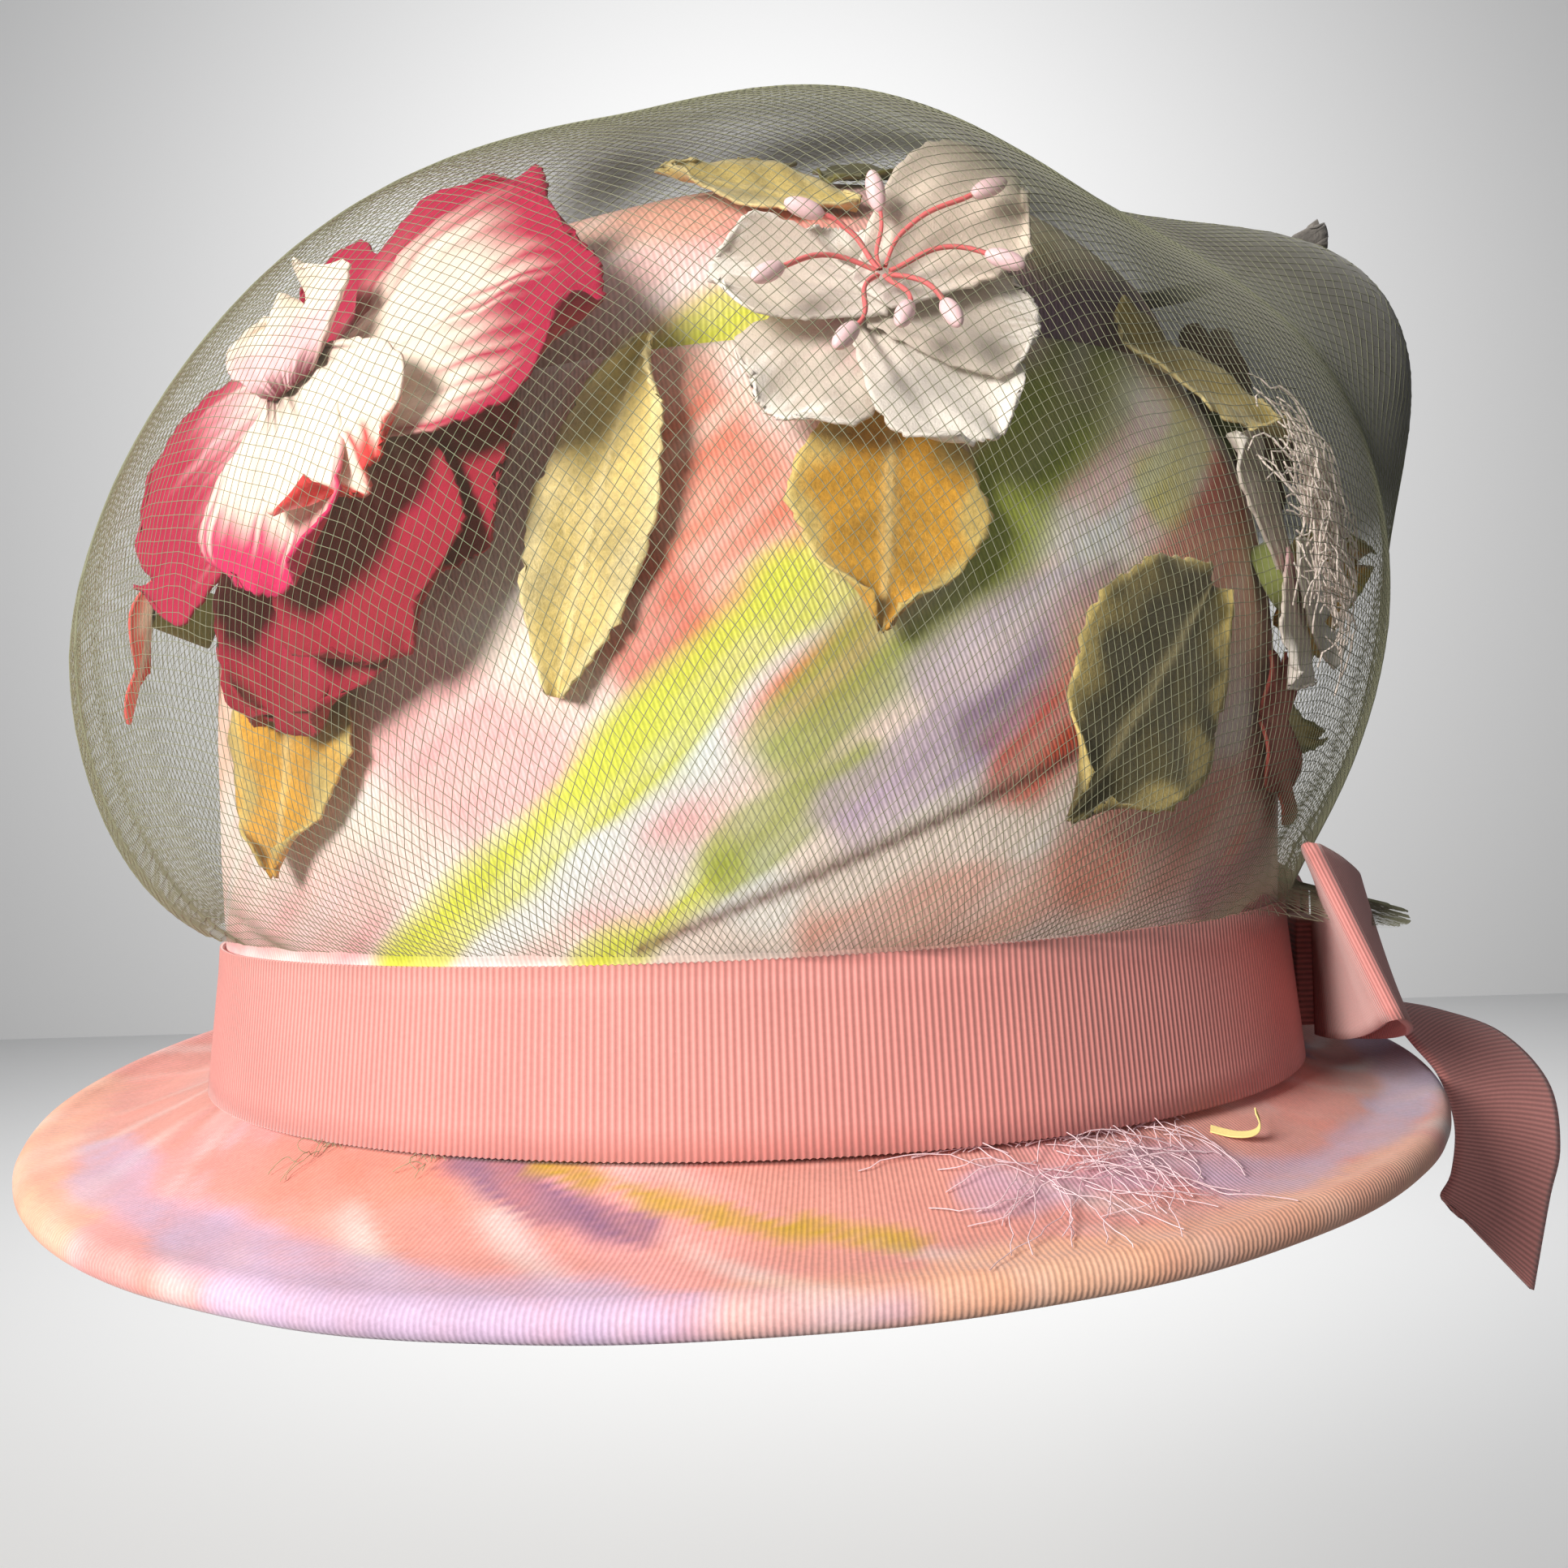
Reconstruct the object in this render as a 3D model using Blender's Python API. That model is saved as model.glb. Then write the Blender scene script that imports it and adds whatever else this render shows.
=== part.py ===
"""A tall crowned hat under a fine net, with a narrow padded brim, a ribbon band with a bow,
and cloth flowers and leaves between the crown and the net. Metres, +Z up.
The origin is the middle of the head opening, where the crown meets the brim."""

import math

import bpy
from mathutils import Vector

# All sizes in millimetres. MM turns them into metres.
MM = 0.001

# Crown
HEAD_HALF_WIDTH = 94.4
HEAD_HALF_DEPTH = 96.0
SIDE_HEIGHT = 107.0
SIDE_WALL = 1.5
TIP_HEIGHT = 39.0
TIP_WALL = 1.3
TIP_TUCK = 9.0
CROWN_LEAN = 9.0
PLEAT_DEPTH = 1.2
PLEAT_START = -100.0
PLEAT_SPAN = 44.0
PLEAT_FOOT = 0.24
PLEAT_CLIMB = 0.24

# Brim
BRIM_WIDTH = 28.0
BRIM_DROP = 11.2
BRIM_WALL = 1.8
ROLL_RADIUS = 2.6
BRIM_BACK_RISE = 16.0
BRIM_FRONT_DIP = 3.0
DIP_AZIMUTH = -125.0
BRIM_LEFT_EXTRA = 3.8

# Ribbon
RIBBON_WIDTH = 24.8
RIBBON_THICK = 0.8
BOW_RIBBON_THICK = 1.0
LOOP_LENGTH = 57.0
LOOP_PUFF = 7.0
LOOP_LEAN = 11.4
LOOP_RISE = 10.5
KNOT_WIDTH = 13.0
KNOT_DEPTH = 5.0
KNOT_ROUNDING = 1.6
BOW_AZIMUTH = -6.0
TAIL_REACH = 34.5
TAIL_DROP = 52.0

# Net veil
VEIL_PUFF = 20.5
VEIL_TOP_GAP = 15.0
VEIL_WALL = 1.0
TENT_REACH = 45.0

# Flowers and leaves
PETAL_THICK = 0.8
LAYER_PITCH = 1.25
ROSE_RADIUS = 42.5
BLOSSOM_RADIUS = 23.0
FRAYED_RADIUS = 23.5
SIDE_FLOWER_RADIUS = 19.0
LEAF_LENGTH = 48.0
LEAF_WIDTH = 25.0
LEAF_REST = 0.55
STAMEN_LENGTH = 15.0
STAMEN_THREAD = 1.0
STAMEN_TIP = 2.8
BUTTON_RADIUS = 5.5

# Clearance between pieces that touch on the real hat
GAP = 0.3

# Facets
AROUND = 48
VEIL_AROUND = 48

# Crown outline: height as a share of the crown's whole height, radius as a share of the head's.
SIDE_ROWS = (
    # height, radius
    (0.000, 1.000),
    (0.223, 0.973),
    (0.390, 0.980),
    (0.550, 0.980),
    (0.700, 0.972),
    (0.800, 0.950),
    (0.890, 0.915),
    (0.960, 0.866),
    (1.000, 0.834),
)
TIP_ROWS = (
    # height above the side's top edge, radius
    (-1.00, 0.834),
    (0.12, 0.834),
    (0.40, 0.770),
    (0.68, 0.650),
    (0.88, 0.450),
    (0.98, 0.200),
)

# Brim, from the head opening outwards: way out as a share of the brim's width, drop as a share of its drop.
BRIM_ROWS = (
    # out, drop
    (0.00, 0.00),
    (0.26, 0.36),
    (0.56, 0.84),
    (0.84, 1.02),
)

# Veil: height as a share of the veil's height, radius as a share of its widest.
VEIL_ROWS = (
    # height, radius
    (0.154, 0.839),
    (0.200, 0.905),
    (0.294, 0.970),
    (0.436, 1.000),
    (0.560, 0.950),
    (0.660, 0.872),
    (0.765, 0.758),
    (0.870, 0.575),
    (0.945, 0.385),
    (0.985, 0.190),
)

# Where flowers and leaf tips hold the net out, and where the bow presses it in:
# direction from the crown's middle, reach as a share, spread in degrees.
VEIL_TENTS = (
    # azimuth, elevation, reach, spread
    (0.0, 45.0, 1.00, 9.0),
    (0.0, 34.0, 0.95, 9.0),
    (4.0, 25.0, 0.52, 9.0),
    (30.0, 50.0, 0.40, 20.0),
    (-4.0, 8.0, 0.36, 6.0),
    (-119.0, 40.0, 0.20, 21.0),
    (-76.0, 47.0, 0.32, 16.0),
    (-27.0, 34.0, 0.22, 16.0),
    (150.0, 30.0, 0.14, 16.0),
    (-6.0, -6.0, -0.32, 30.0),
)

# Petal and leaf outlines: way along the length, half width as a share of the widest half width.
ROUND_OUTLINE = (
    # along, half_width
    (0.00, 0.34),
    (0.24, 0.66),
    (0.50, 0.95),
    (0.74, 1.00),
    (0.91, 0.76),
    (1.00, 0.42),
)
LEAF_OUTLINE = (
    # along, half_width
    (0.00, 0.16),
    (0.22, 0.74),
    (0.50, 1.00),
    (0.80, 0.62),
    (1.00, 0.10),
)

# Rose petals from the crown outwards. Turn is counted in degrees from level right, anticlockwise.
ROSE_PETALS = (
    # turn, length, width, layer
    (98.0, 0.92, 0.80, 0.0),
    (238.0, 1.10, 0.95, 1.2),
    (262.0, 1.06, 0.90, 2.4),
    (328.0, 0.82, 0.72, 3.4),
    (142.0, 0.98, 0.86, 4.4),
    (298.0, 0.94, 0.74, 5.4),
    (56.0, 0.95, 0.62, 6.6),
    (22.0, 0.98, 0.80, 8.6),
    (208.0, 0.94, 0.86, 9.6),
    (276.0, 0.70, 0.56, 10.6),
    (318.0, 0.58, 0.52, 11.6),
    (118.0, 0.44, 0.44, 12.6),
)
BLOSSOM_PETALS = (
    # turn, length, width, layer
    (95.0, 0.74, 0.80, 0),
    (222.0, 0.96, 0.86, 1),
    (302.0, 1.06, 0.92, 2),
    (356.0, 0.96, 0.92, 3),
    (168.0, 0.94, 0.62, 4),
    (42.0, 1.12, 0.78, 5),
)
FRAYED_PETALS = (
    # turn, length, width, layer
    (104.0, 0.98, 0.90, 0),
    (246.0, 0.90, 0.78, 1),
    (332.0, 0.90, 0.86, 2),
)

# Flowers: place on the crown, distance from it, ways that the petals bowl, all outwards of the crown.
FLOWERS = (
    # name, azimuth, elevation, out, radius, low_bowl, high_bowl, petals
    ("rose", -123.5, 31.5, 4.6, ROSE_RADIUS, -0.02, 0.04, ROSE_PETALS),
    ("white_blossom", -77.5, 37.5, 5.4, BLOSSOM_RADIUS, -0.02, 0.16, BLOSSOM_PETALS),
    ("frayed_flower", -28.0, 22.0, 5.0, FRAYED_RADIUS, -0.06, 0.12, FRAYED_PETALS),
)

# Blossoms stamped from one piece of cloth, half hidden at the sides, on top and at the back.
STAMPED = (
    # name, azimuth, elevation, out, radius_share, lobes, spin, bowl
    ("pink_blossom_left", -160.0, 22.0, 11.0, 1.00, 5, 10.0, 0.16),
    ("brown_blossom_right", 2.0, 38.5, 10.0, 0.94, 5, 35.0, 0.10),
    ("pink_blossom_right", -28.0, 8.0, 1.7, 0.74, 5, 20.0, 0.06),
    ("pink_blossom_back", 78.0, 20.0, 4.0, 1.25, 5, 50.0, 0.15),
    ("cream_blossom_back", 128.0, 30.0, 4.0, 1.15, 5, 5.0, 0.15),
)

# Leaves: middle of the leaf on the crown, way the tip points, sizes as shares, rise of the tip, cupping.
LEAVES = (
    # name, azimuth, elevation, turn, length, width, tip_rise, cup
    ("leaf_by_rose", -100.5, 24.5, 76.0, 1.00, 0.70, 5.0, 0.10),
    ("leaf_under_rose", -132.0, 9.0, 268.0, 0.76, 1.34, 3.0, 0.06),
    ("leaf_under_blossom", -77.5, 24.2, 262.0, 0.68, 1.10, 2.6, 0.08),
    ("leaf_above_blossom", -86.0, 54.0, 165.0, 0.60, 0.56, 4.0, 0.10),
    ("leaf_top_right", -62.0, 63.0, 35.0, 0.82, 0.70, 2.0, 0.06),
    ("leaf_top_middle", -88.0, 66.0, 92.0, 0.72, 0.72, 4.0, 0.08),
    ("leaf_curled_right", -34.5, 38.0, 318.0, 0.72, 0.70, 8.5, 0.05),
    ("leaf_low_right", -54.0, 11.0, 223.0, 1.02, 1.26, 4.0, 0.06),
    ("leaf_far_right", -10.5, 21.0, 8.0, 0.86, 0.80, 22.5, 0.10),
    ("leaf_spike_right", 0.0, 50.0, 268.0, 0.50, 0.40, 40.0, 0.05),
    ("leaf_left_edge", -152.0, 36.0, 160.0, 0.66, 0.60, 6.0, 0.10),
    ("leaf_hook_right", -6.0, 9.0, 350.0, 0.56, 0.34, 12.0, 0.05),
    ("leaf_back_right", 48.0, 16.0, 250.0, 1.00, 0.92, 5.0, 0.10),
    ("leaf_back_middle", 104.0, 10.0, 280.0, 0.90, 0.92, 4.0, 0.10),
    ("leaf_back_top", 105.0, 55.0, 60.0, 0.92, 0.86, 5.0, 0.10),
    ("leaf_back_left", 160.0, 38.0, 110.0, 0.92, 0.86, 5.0, 0.10),
)

# Colours: red, green, blue, roughness, see-through share kept
COLOURS = {
    "cloth": (0.80, 0.50, 0.45, 0.55, 1.0),
    "ribbon": (0.72, 0.33, 0.30, 0.45, 1.0),
    "net": (0.24, 0.26, 0.19, 0.80, 0.35),
    "rose": (0.62, 0.03, 0.12, 0.70, 1.0),
    "organza": (0.62, 0.55, 0.48, 0.70, 1.0),
    "leaf": (0.42, 0.30, 0.08, 0.45, 1.0),
    "pink": (0.72, 0.32, 0.28, 0.70, 1.0),
    "brown": (0.30, 0.16, 0.10, 0.70, 1.0),
    "thread": (0.70, 0.20, 0.22, 0.60, 1.0),
}

CROWN_HEIGHT = SIDE_HEIGHT + TIP_HEIGHT
VEIL_HEIGHT = CROWN_HEIGHT + VEIL_TOP_GAP
CENTRE = Vector((0.0, 0.0, 0.27 * CROWN_HEIGHT))
CARRIER_MARGIN = 0.25


def clear_scene():
    """Remove whatever the file starts with."""
    for old in list(bpy.data.objects):
        bpy.data.objects.remove(old, do_unlink=True)


def material(kind):
    """The Principled material of one kind of cloth, made once."""
    found = bpy.data.materials.get(kind)
    if found:
        return found
    red, green, blue, roughness, kept = COLOURS[kind]
    made = bpy.data.materials.new(kind)
    made.use_nodes = True
    shader = made.node_tree.nodes["Principled BSDF"]
    shader.inputs["Base Color"].default_value = (red, green, blue, 1.0)
    shader.inputs["Roughness"].default_value = roughness
    shader.inputs["Metallic"].default_value = 0.0
    shader.inputs["Alpha"].default_value = kept
    return made


def add_object(name, points, faces, kind):
    """A named object from points in millimetres."""
    mesh = bpy.data.meshes.new(name)
    mesh.from_pydata([tuple(point * MM) for point in points], [], faces)
    mesh.update()
    mesh.shade_smooth()
    mesh.set_sharp_from_angle(angle=math.radians(40.0))
    mesh.materials.append(material(kind))
    made = bpy.data.objects.new(name, mesh)
    bpy.context.scene.collection.objects.link(made)
    return made


def between(rows, at):
    """Read a two-column table between its rows."""
    if at <= rows[0][0]:
        return rows[0][1]
    for (low, low_value), (high, high_value) in zip(rows, rows[1:]):
        if at <= high:
            share = (at - low) / (high - low)
            return low_value + (high_value - low_value) * share
    return rows[-1][1]


def around(azimuth, radius_x, radius_y, height):
    """A point on an oval, azimuth in degrees from +X."""
    turn = math.radians(azimuth)
    return Vector((radius_x * math.cos(turn), radius_y * math.sin(turn), height))


def azimuths(count):
    return [360.0 * step / count for step in range(count)]


def lean(point):
    """The crown's top sits a little higher on the bow's side."""
    share = max(0.0, point.z) / CROWN_HEIGHT
    return point + Vector((0.0, 0.0, CROWN_LEAN * share * point.x / HEAD_HALF_WIDTH))


def ring_body(name, sections, kind):
    """A closed ring: one closed section, listed the same way round, at each azimuth."""
    count = len(sections)
    size = len(sections[0])
    points = [point for section in sections for point in section]
    faces = []
    for step in range(count):
        ahead = (step + 1) % count
        for corner in range(size):
            after = (corner + 1) % size
            faces.append((
                step * size + corner,
                ahead * size + corner,
                ahead * size + after,
                step * size + after,
            ))
    return add_object(name, points, faces, kind)


def plate_body(name, inner, outer, faces, kind):
    """A sheet given a thickness: its inner and outer points, and its faces seen from outside."""
    size = len(inner)
    shell = [tuple(face) for face in faces]
    shell += [tuple(size + corner for corner in reversed(face)) for face in faces]
    sides = {}
    for face in faces:
        for start, end in zip(face, face[1:] + face[:1]):
            sides[(start, end)] = True
    for start, end in sides:
        if (end, start) not in sides:
            shell.append((end, start, size + start, size + end))
    return add_object(name, outer + inner, shell, kind)


def pleat(azimuth, share):
    """Height of the slanting pleat in the crown's side, a fold that fades above its line."""
    across = (azimuth + 180.0) % 360.0 - 180.0
    along = (across - PLEAT_START) / PLEAT_SPAN
    line = PLEAT_FOOT + PLEAT_CLIMB * along
    if not 0.0 < along < 1.0 or share < line:
        return 0.0
    fade_up = max(0.0, 1.0 - (share - line) / 0.30)
    fade_along = min(1.0, along / 0.3, (1.0 - along) / 0.3)
    return PLEAT_DEPTH * fade_up * fade_along


def side_outline(azimuth, share, inset=0.0):
    """A point of the crown's side, height as a share of the side's height."""
    radius = between(SIDE_ROWS, share)
    fold = pleat(azimuth, share) if inset == 0.0 else 0.0
    point = around(
        azimuth,
        HEAD_HALF_WIDTH * radius - inset + fold,
        HEAD_HALF_DEPTH * radius - inset + fold,
        SIDE_HEIGHT * share,
    )
    return lean(point)


def crown_side():
    """The ribbed cloth wall, open at the bottom, its top edge folded inwards."""
    sections = []
    inner_rows = (0, 1, 3, 5, 7, 8)
    for azimuth in azimuths(AROUND):
        outer = [side_outline(azimuth, share) for share, _ in SIDE_ROWS]
        inner = [side_outline(azimuth, SIDE_ROWS[row][0], SIDE_WALL) for row in inner_rows]
        sections.append(outer + inner[::-1])
    return ring_body("crown_side", sections, "cloth")


def crown_tip():
    """The domed top, tucked inside the side's folded edge."""
    rings = []
    for share, radius in TIP_ROWS:
        rise = TIP_TUCK * share if share < 0.0 else TIP_HEIGHT * share
        rings.append((rise, radius))
    outer, inner = [], []
    tucked = SIDE_WALL + GAP
    for rise, radius in rings:
        level = SIDE_HEIGHT + rise
        slim = tucked if rise < TIP_TUCK else 0.0
        for azimuth in azimuths(AROUND):
            wide_x = HEAD_HALF_WIDTH * radius - slim
            wide_y = HEAD_HALF_DEPTH * radius - slim
            steep = 1.0 - (rise / TIP_HEIGHT) ** 2 if rise > 0.0 else 1.0
            outer.append(lean(around(azimuth, wide_x, wide_y, level)))
            low = TIP_WALL * (1.0 - steep)
            thin = TIP_WALL * (0.25 + 0.75 * steep)
            inner.append(lean(around(azimuth, wide_x - thin, wide_y - thin, level - low)))
    outer.append(lean(Vector((0.0, 0.0, CROWN_HEIGHT))))
    inner.append(lean(Vector((0.0, 0.0, CROWN_HEIGHT - TIP_WALL))))
    faces = dome_faces(len(rings), AROUND)
    return plate_body("crown_tip", inner, outer, faces, "cloth")


def dome_faces(rings, count):
    """Faces of a dome, ring by ring upwards, closed by one last point."""
    faces = []
    for ring in range(rings - 1):
        for step in range(count):
            ahead = (step + 1) % count
            low, high = ring * count, (ring + 1) * count
            faces.append((low + step, low + ahead, high + ahead, high + step))
    top = rings * count
    last = (rings - 1) * count
    for step in range(count):
        faces.append((last + step, last + (step + 1) % count, top))
    return faces


def brim_rise(azimuth, out):
    """How much the brim turns up towards the back, at a share of its width."""
    back = 0.5 + 0.5 * math.sin(math.radians(azimuth))
    front = max(0.0, math.cos(math.radians(azimuth - DIP_AZIMUTH)))
    return (BRIM_BACK_RISE * back ** 1.5 - BRIM_FRONT_DIP * front ** 2) * out ** 1.5


def brim_point(azimuth, out, level):
    """A point of the brim, out as a share of its width, level from the head opening."""
    wide = BRIM_WIDTH * out
    inner_x = HEAD_HALF_WIDTH - SIDE_WALL
    inner_y = HEAD_HALF_DEPTH - SIDE_WALL
    point = around(azimuth, inner_x + wide, inner_y + wide, level + brim_rise(azimuth, out))
    return point - Vector((BRIM_LEFT_EXTRA * out, 0.0, 0.0))


def brim():
    """The sloping brim with its padded roll at the edge, as one ring."""
    roll_out = 1.0 - ROLL_RADIUS / BRIM_WIDTH
    roll_level = -BRIM_DROP + ROLL_RADIUS * 0.4
    roll_turns = (140.0, 85.0, 30.0, -30.0, -90.0)
    sections = []
    for azimuth in azimuths(AROUND):
        section = [brim_point(azimuth, out, -GAP - BRIM_DROP * drop) for out, drop in BRIM_ROWS]
        for turn in roll_turns:
            angle = math.radians(turn)
            out = roll_out + ROLL_RADIUS * math.cos(angle) / BRIM_WIDTH
            section.append(brim_point(azimuth, out, roll_level + ROLL_RADIUS * math.sin(angle)))
        for out, drop in BRIM_ROWS[::-1]:
            section.append(brim_point(azimuth, out, -GAP - BRIM_DROP * drop - BRIM_WALL))
        sections.append(section[::-1])
    return ring_body("brim", sections, "cloth")


def ribbon_band():
    """The band around the foot of the crown."""
    low = GAP
    high = RIBBON_WIDTH
    sections = []
    for azimuth in azimuths(AROUND):
        section = []
        for level, extra in ((low, 0.0), (low, 1.0), (high, 1.0), (high, 0.0)):
            radius = between(SIDE_ROWS, level / SIDE_HEIGHT)
            stand = GAP + RIBBON_THICK * extra
            wide_x = HEAD_HALF_WIDTH * radius + stand
            wide_y = HEAD_HALF_DEPTH * radius + stand
            section.append(lean(around(azimuth, wide_x, wide_y, level)))
        sections.append(section)
    return ring_body("ribbon_band", sections, "ribbon")


def bow_frame():
    """The bow's place: its middle on the band, the ways out, along the band and up."""
    turn = math.radians(BOW_AZIMUTH)
    level = 0.5 * RIBBON_WIDTH
    radius = between(SIDE_ROWS, level / SIDE_HEIGHT)
    stand = 2.0 * GAP + RIBBON_THICK + 0.72
    middle = around(
        BOW_AZIMUTH,
        HEAD_HALF_WIDTH * radius + stand,
        HEAD_HALF_DEPTH * radius + stand,
        level,
    )
    out = Vector((math.cos(turn), math.sin(turn), 0.0))
    along = Vector((-math.sin(turn), math.cos(turn), 0.0))
    return middle, out, along


def bow_knot():
    """The short wrapped piece that holds the bow, a rounded block."""
    middle, out, along = bow_frame()
    half_wide = 0.5 * KNOT_WIDTH
    half_tall = 0.5 * RIBBON_WIDTH - 3.0
    trim = KNOT_ROUNDING
    section = (
        (-half_wide, trim),
        (-half_wide + trim, 0.0),
        (half_wide - trim, 0.0),
        (half_wide, trim),
        (half_wide, KNOT_DEPTH - trim),
        (half_wide - trim, KNOT_DEPTH),
        (-half_wide + trim, KNOT_DEPTH),
        (-half_wide, KNOT_DEPTH - trim),
    )
    levels = (-half_tall, -half_tall * 0.4, half_tall * 0.4, half_tall)
    pinch = (1.0, 0.86, 0.86, 1.0)
    points = []
    for level, slim in zip(levels, pinch):
        for sideways, depth in section:
            points.append(
                middle + along * (sideways * slim) + out * depth + Vector((0.0, 0.0, level))
            )
    size = len(section)
    faces = [tuple(range(size))]
    for row in range(len(levels) - 1):
        for corner in range(size):
            after = (corner + 1) % size
            low, high = row * size, (row + 1) * size
            faces.append((low + corner, high + corner, high + after, low + after))
    last = (len(levels) - 1) * size
    faces.append(tuple(reversed(range(last, last + size))))
    return add_object("bow_knot", points, faces, "ribbon")


# One loop of the bow seen from above: way along the loop, way out from the band, both as shares.
LOOP_ROWS = (
    # along, out
    (0.00, 0.34),
    (0.20, 0.30),
    (0.45, 0.14),
    (0.72, 0.00),
    (0.92, 0.00),
    (1.00, 0.12),
    (0.97, 0.28),
    (0.80, 0.62),
    (0.55, 0.96),
    (0.30, 1.00),
    (0.12, 0.72),
    (0.00, 0.56),
)


def bow_loop(name, side):
    """One loop of ribbon lying along the band; side is -1 towards the front, 1 towards the back."""
    middle, out, along = bow_frame()
    start = 0.5 * KNOT_WIDTH + GAP
    edge_levels = (-0.5 * RIBBON_WIDTH, 0.0, 0.5 * RIBBON_WIDTH)
    route = []
    for way, puff in LOOP_ROWS:
        distance = start + LOOP_LENGTH * way
        curve = distance * distance / (2.0 * HEAD_HALF_DEPTH)
        route.append((distance, 0.6 - 0.26 * curve * way + LOOP_PUFF * puff, way))
    outer, inner = [], []
    for index, (distance, depth, way) in enumerate(route):
        before = route[max(0, index - 1)]
        after = route[min(len(route) - 1, index + 1)]
        run = Vector((after[0] - before[0], after[1] - before[1])).normalized()
        normal = Vector((-run.y, run.x)) * 0.5 * BOW_RIBBON_THICK
        for level in edge_levels:
            tilt = -LOOP_LEAN * way * level / RIBBON_WIDTH
            rise = level + 1.6 + LOOP_RISE * way ** 1.5
            for face, store in ((1.0, outer), (-1.0, inner)):
                spot = middle + along * (side * (distance + face * normal.x))
                spot = spot + out * (depth + tilt + face * normal.y) + Vector((0.0, 0.0, rise))
                store.append(spot)
    faces = []
    size = len(edge_levels)
    for row in range(len(route) - 1):
        for corner in range(size - 1):
            low = row * size + corner
            face = (low, low + 1, low + size + 1, low + size)
            faces.append(face if side < 0 else face[::-1])
    return plate_body(name, inner, outer, faces, "ribbon")


# The bow's hanging end: middle of the ribbon as shares of its reach and drop, way back, turn, width.
TAIL_ROWS = (
    # reach, drop, back, heading, tip_down, width
    (0.03, 0.00, 0.00, 90.0, 0.0, 0.44),
    (0.14, 0.02, 0.00, 90.0, 0.0, 0.50),
    (0.32, 0.07, -0.02, 78.0, 0.0, 0.94),
    (0.50, 0.13, -0.04, 66.0, 6.0, 1.00),
    (0.70, 0.22, -0.08, 50.0, 10.0, 1.00),
    (0.83, 0.38, -0.12, 36.0, 10.0, 1.00),
    (0.83, 0.56, -0.15, 30.0, 4.0, 1.00),
    (0.76, 0.68, -0.19, 28.0, -8.0, 0.96),
)
TAIL_POINT = (0.95, 1.00, -0.10)


def bow_tail():
    """The ribbon's free end: over the brim, turning as it hangs, cut on a slant."""
    middle, out, along = bow_frame()
    start = middle + out * (KNOT_DEPTH + GAP + 0.4) - Vector((0.0, 0.0, 4.0))
    low = Vector((0.0, 0.0, -1.0))
    edges = (-0.5, -0.17, 0.17, 0.5)
    middles = []
    for reach, drop, back, heading, tip_down, width in TAIL_ROWS:
        place = start + out * (TAIL_REACH * reach) + low * (TAIL_DROP * drop)
        place = place + along * (TAIL_REACH * back)
        turn, tip = math.radians(heading), math.radians(tip_down)
        across = out * (math.cos(turn) * math.cos(tip)) + along * (math.sin(turn) * math.cos(tip))
        across = across + Vector((0.0, 0.0, math.sin(tip)))
        middles.append((place, across * RIBBON_WIDTH * width))
    far = start + out * (TAIL_REACH * TAIL_POINT[0]) + low * (TAIL_DROP * TAIL_POINT[1])
    far = far + along * (TAIL_REACH * TAIL_POINT[2])
    rows = [[place + across * edge for edge in edges] for place, across in middles]
    near_end = rows[-1][0]
    rows.append([near_end.lerp(far, 0.12 + 0.88 * (edge + 0.5)) for edge in edges])
    normals = []
    for row, line in enumerate(rows):
        before, after = rows[max(0, row - 1)], rows[min(len(rows) - 1, row + 1)]
        side = line[-1] - line[0]
        run = after[1] - before[1]
        normals.append(side.cross(run).normalized() * (0.5 * BOW_RIBBON_THICK))
    outer = [point + normals[row] for row, line in enumerate(rows) for point in line]
    inner = [point - normals[row] for row, line in enumerate(rows) for point in line]
    size = len(edges)
    faces = []
    for row in range(len(rows) - 1):
        for corner in range(size - 1):
            base = row * size + corner
            faces.append((base, base + 1, base + size + 1, base + size))
    return plate_body("bow_tail", inner, outer, faces, "ribbon")


def crown_share(level):
    """The crown's outline before it leans: its radius as a share of the head's."""
    if level <= SIDE_HEIGHT:
        return between(SIDE_ROWS, level / SIDE_HEIGHT)
    return between(TIP_ROWS[1:] + ((1.0, 0.0),), (level - SIDE_HEIGHT) / TIP_HEIGHT)


def carrier(direction):
    """Distance from the crown's middle, this way, to just outside the crown."""
    near, far = 0.0, 4.0 * CROWN_HEIGHT
    for _ in range(40):
        middle = 0.5 * (near + far)
        point = CENTRE + direction * middle
        level = point.z / (1.0 + CROWN_LEAN * point.x / (CROWN_HEIGHT * HEAD_HALF_WIDTH))
        reach = math.hypot(point.x / HEAD_HALF_WIDTH, point.y / HEAD_HALF_DEPTH)
        if level < CROWN_HEIGHT and reach < crown_share(max(0.0, level)):
            near = middle
        else:
            far = middle
    return near + CARRIER_MARGIN


def on_carrier(direction, out):
    return CENTRE + direction * (carrier(direction) + out)


def heading(azimuth, elevation):
    turn, rise = math.radians(azimuth), math.radians(elevation)
    return Vector((
        math.cos(rise) * math.cos(turn),
        math.cos(rise) * math.sin(turn),
        math.sin(rise),
    ))


def drape(name, azimuth, elevation, spots, faces, thick, kind):
    """A thin cloth piece on the crown: spots give right, up and distance from the crown."""
    facing = heading(azimuth, elevation)
    right = Vector((-facing.y, facing.x, 0.0)).normalized()
    up = facing.cross(right)
    foot = facing * carrier(facing)
    inner, outer = [], []
    for sideways, upwards, out in spots:
        direction = (foot + right * sideways + up * upwards).normalized()
        inner.append(on_carrier(direction, out))
        outer.append(on_carrier(direction, out + thick))
    return plate_body(name, inner, outer, faces, kind)


def strip_faces(rows, size):
    """Faces of a grid of rows, seen from outside the crown."""
    faces = []
    for row in range(rows - 1):
        for corner in range(size - 1):
            base = row * size + corner
            faces.append((base, base + 1, base + size + 1, base + size))
    return faces


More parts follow.
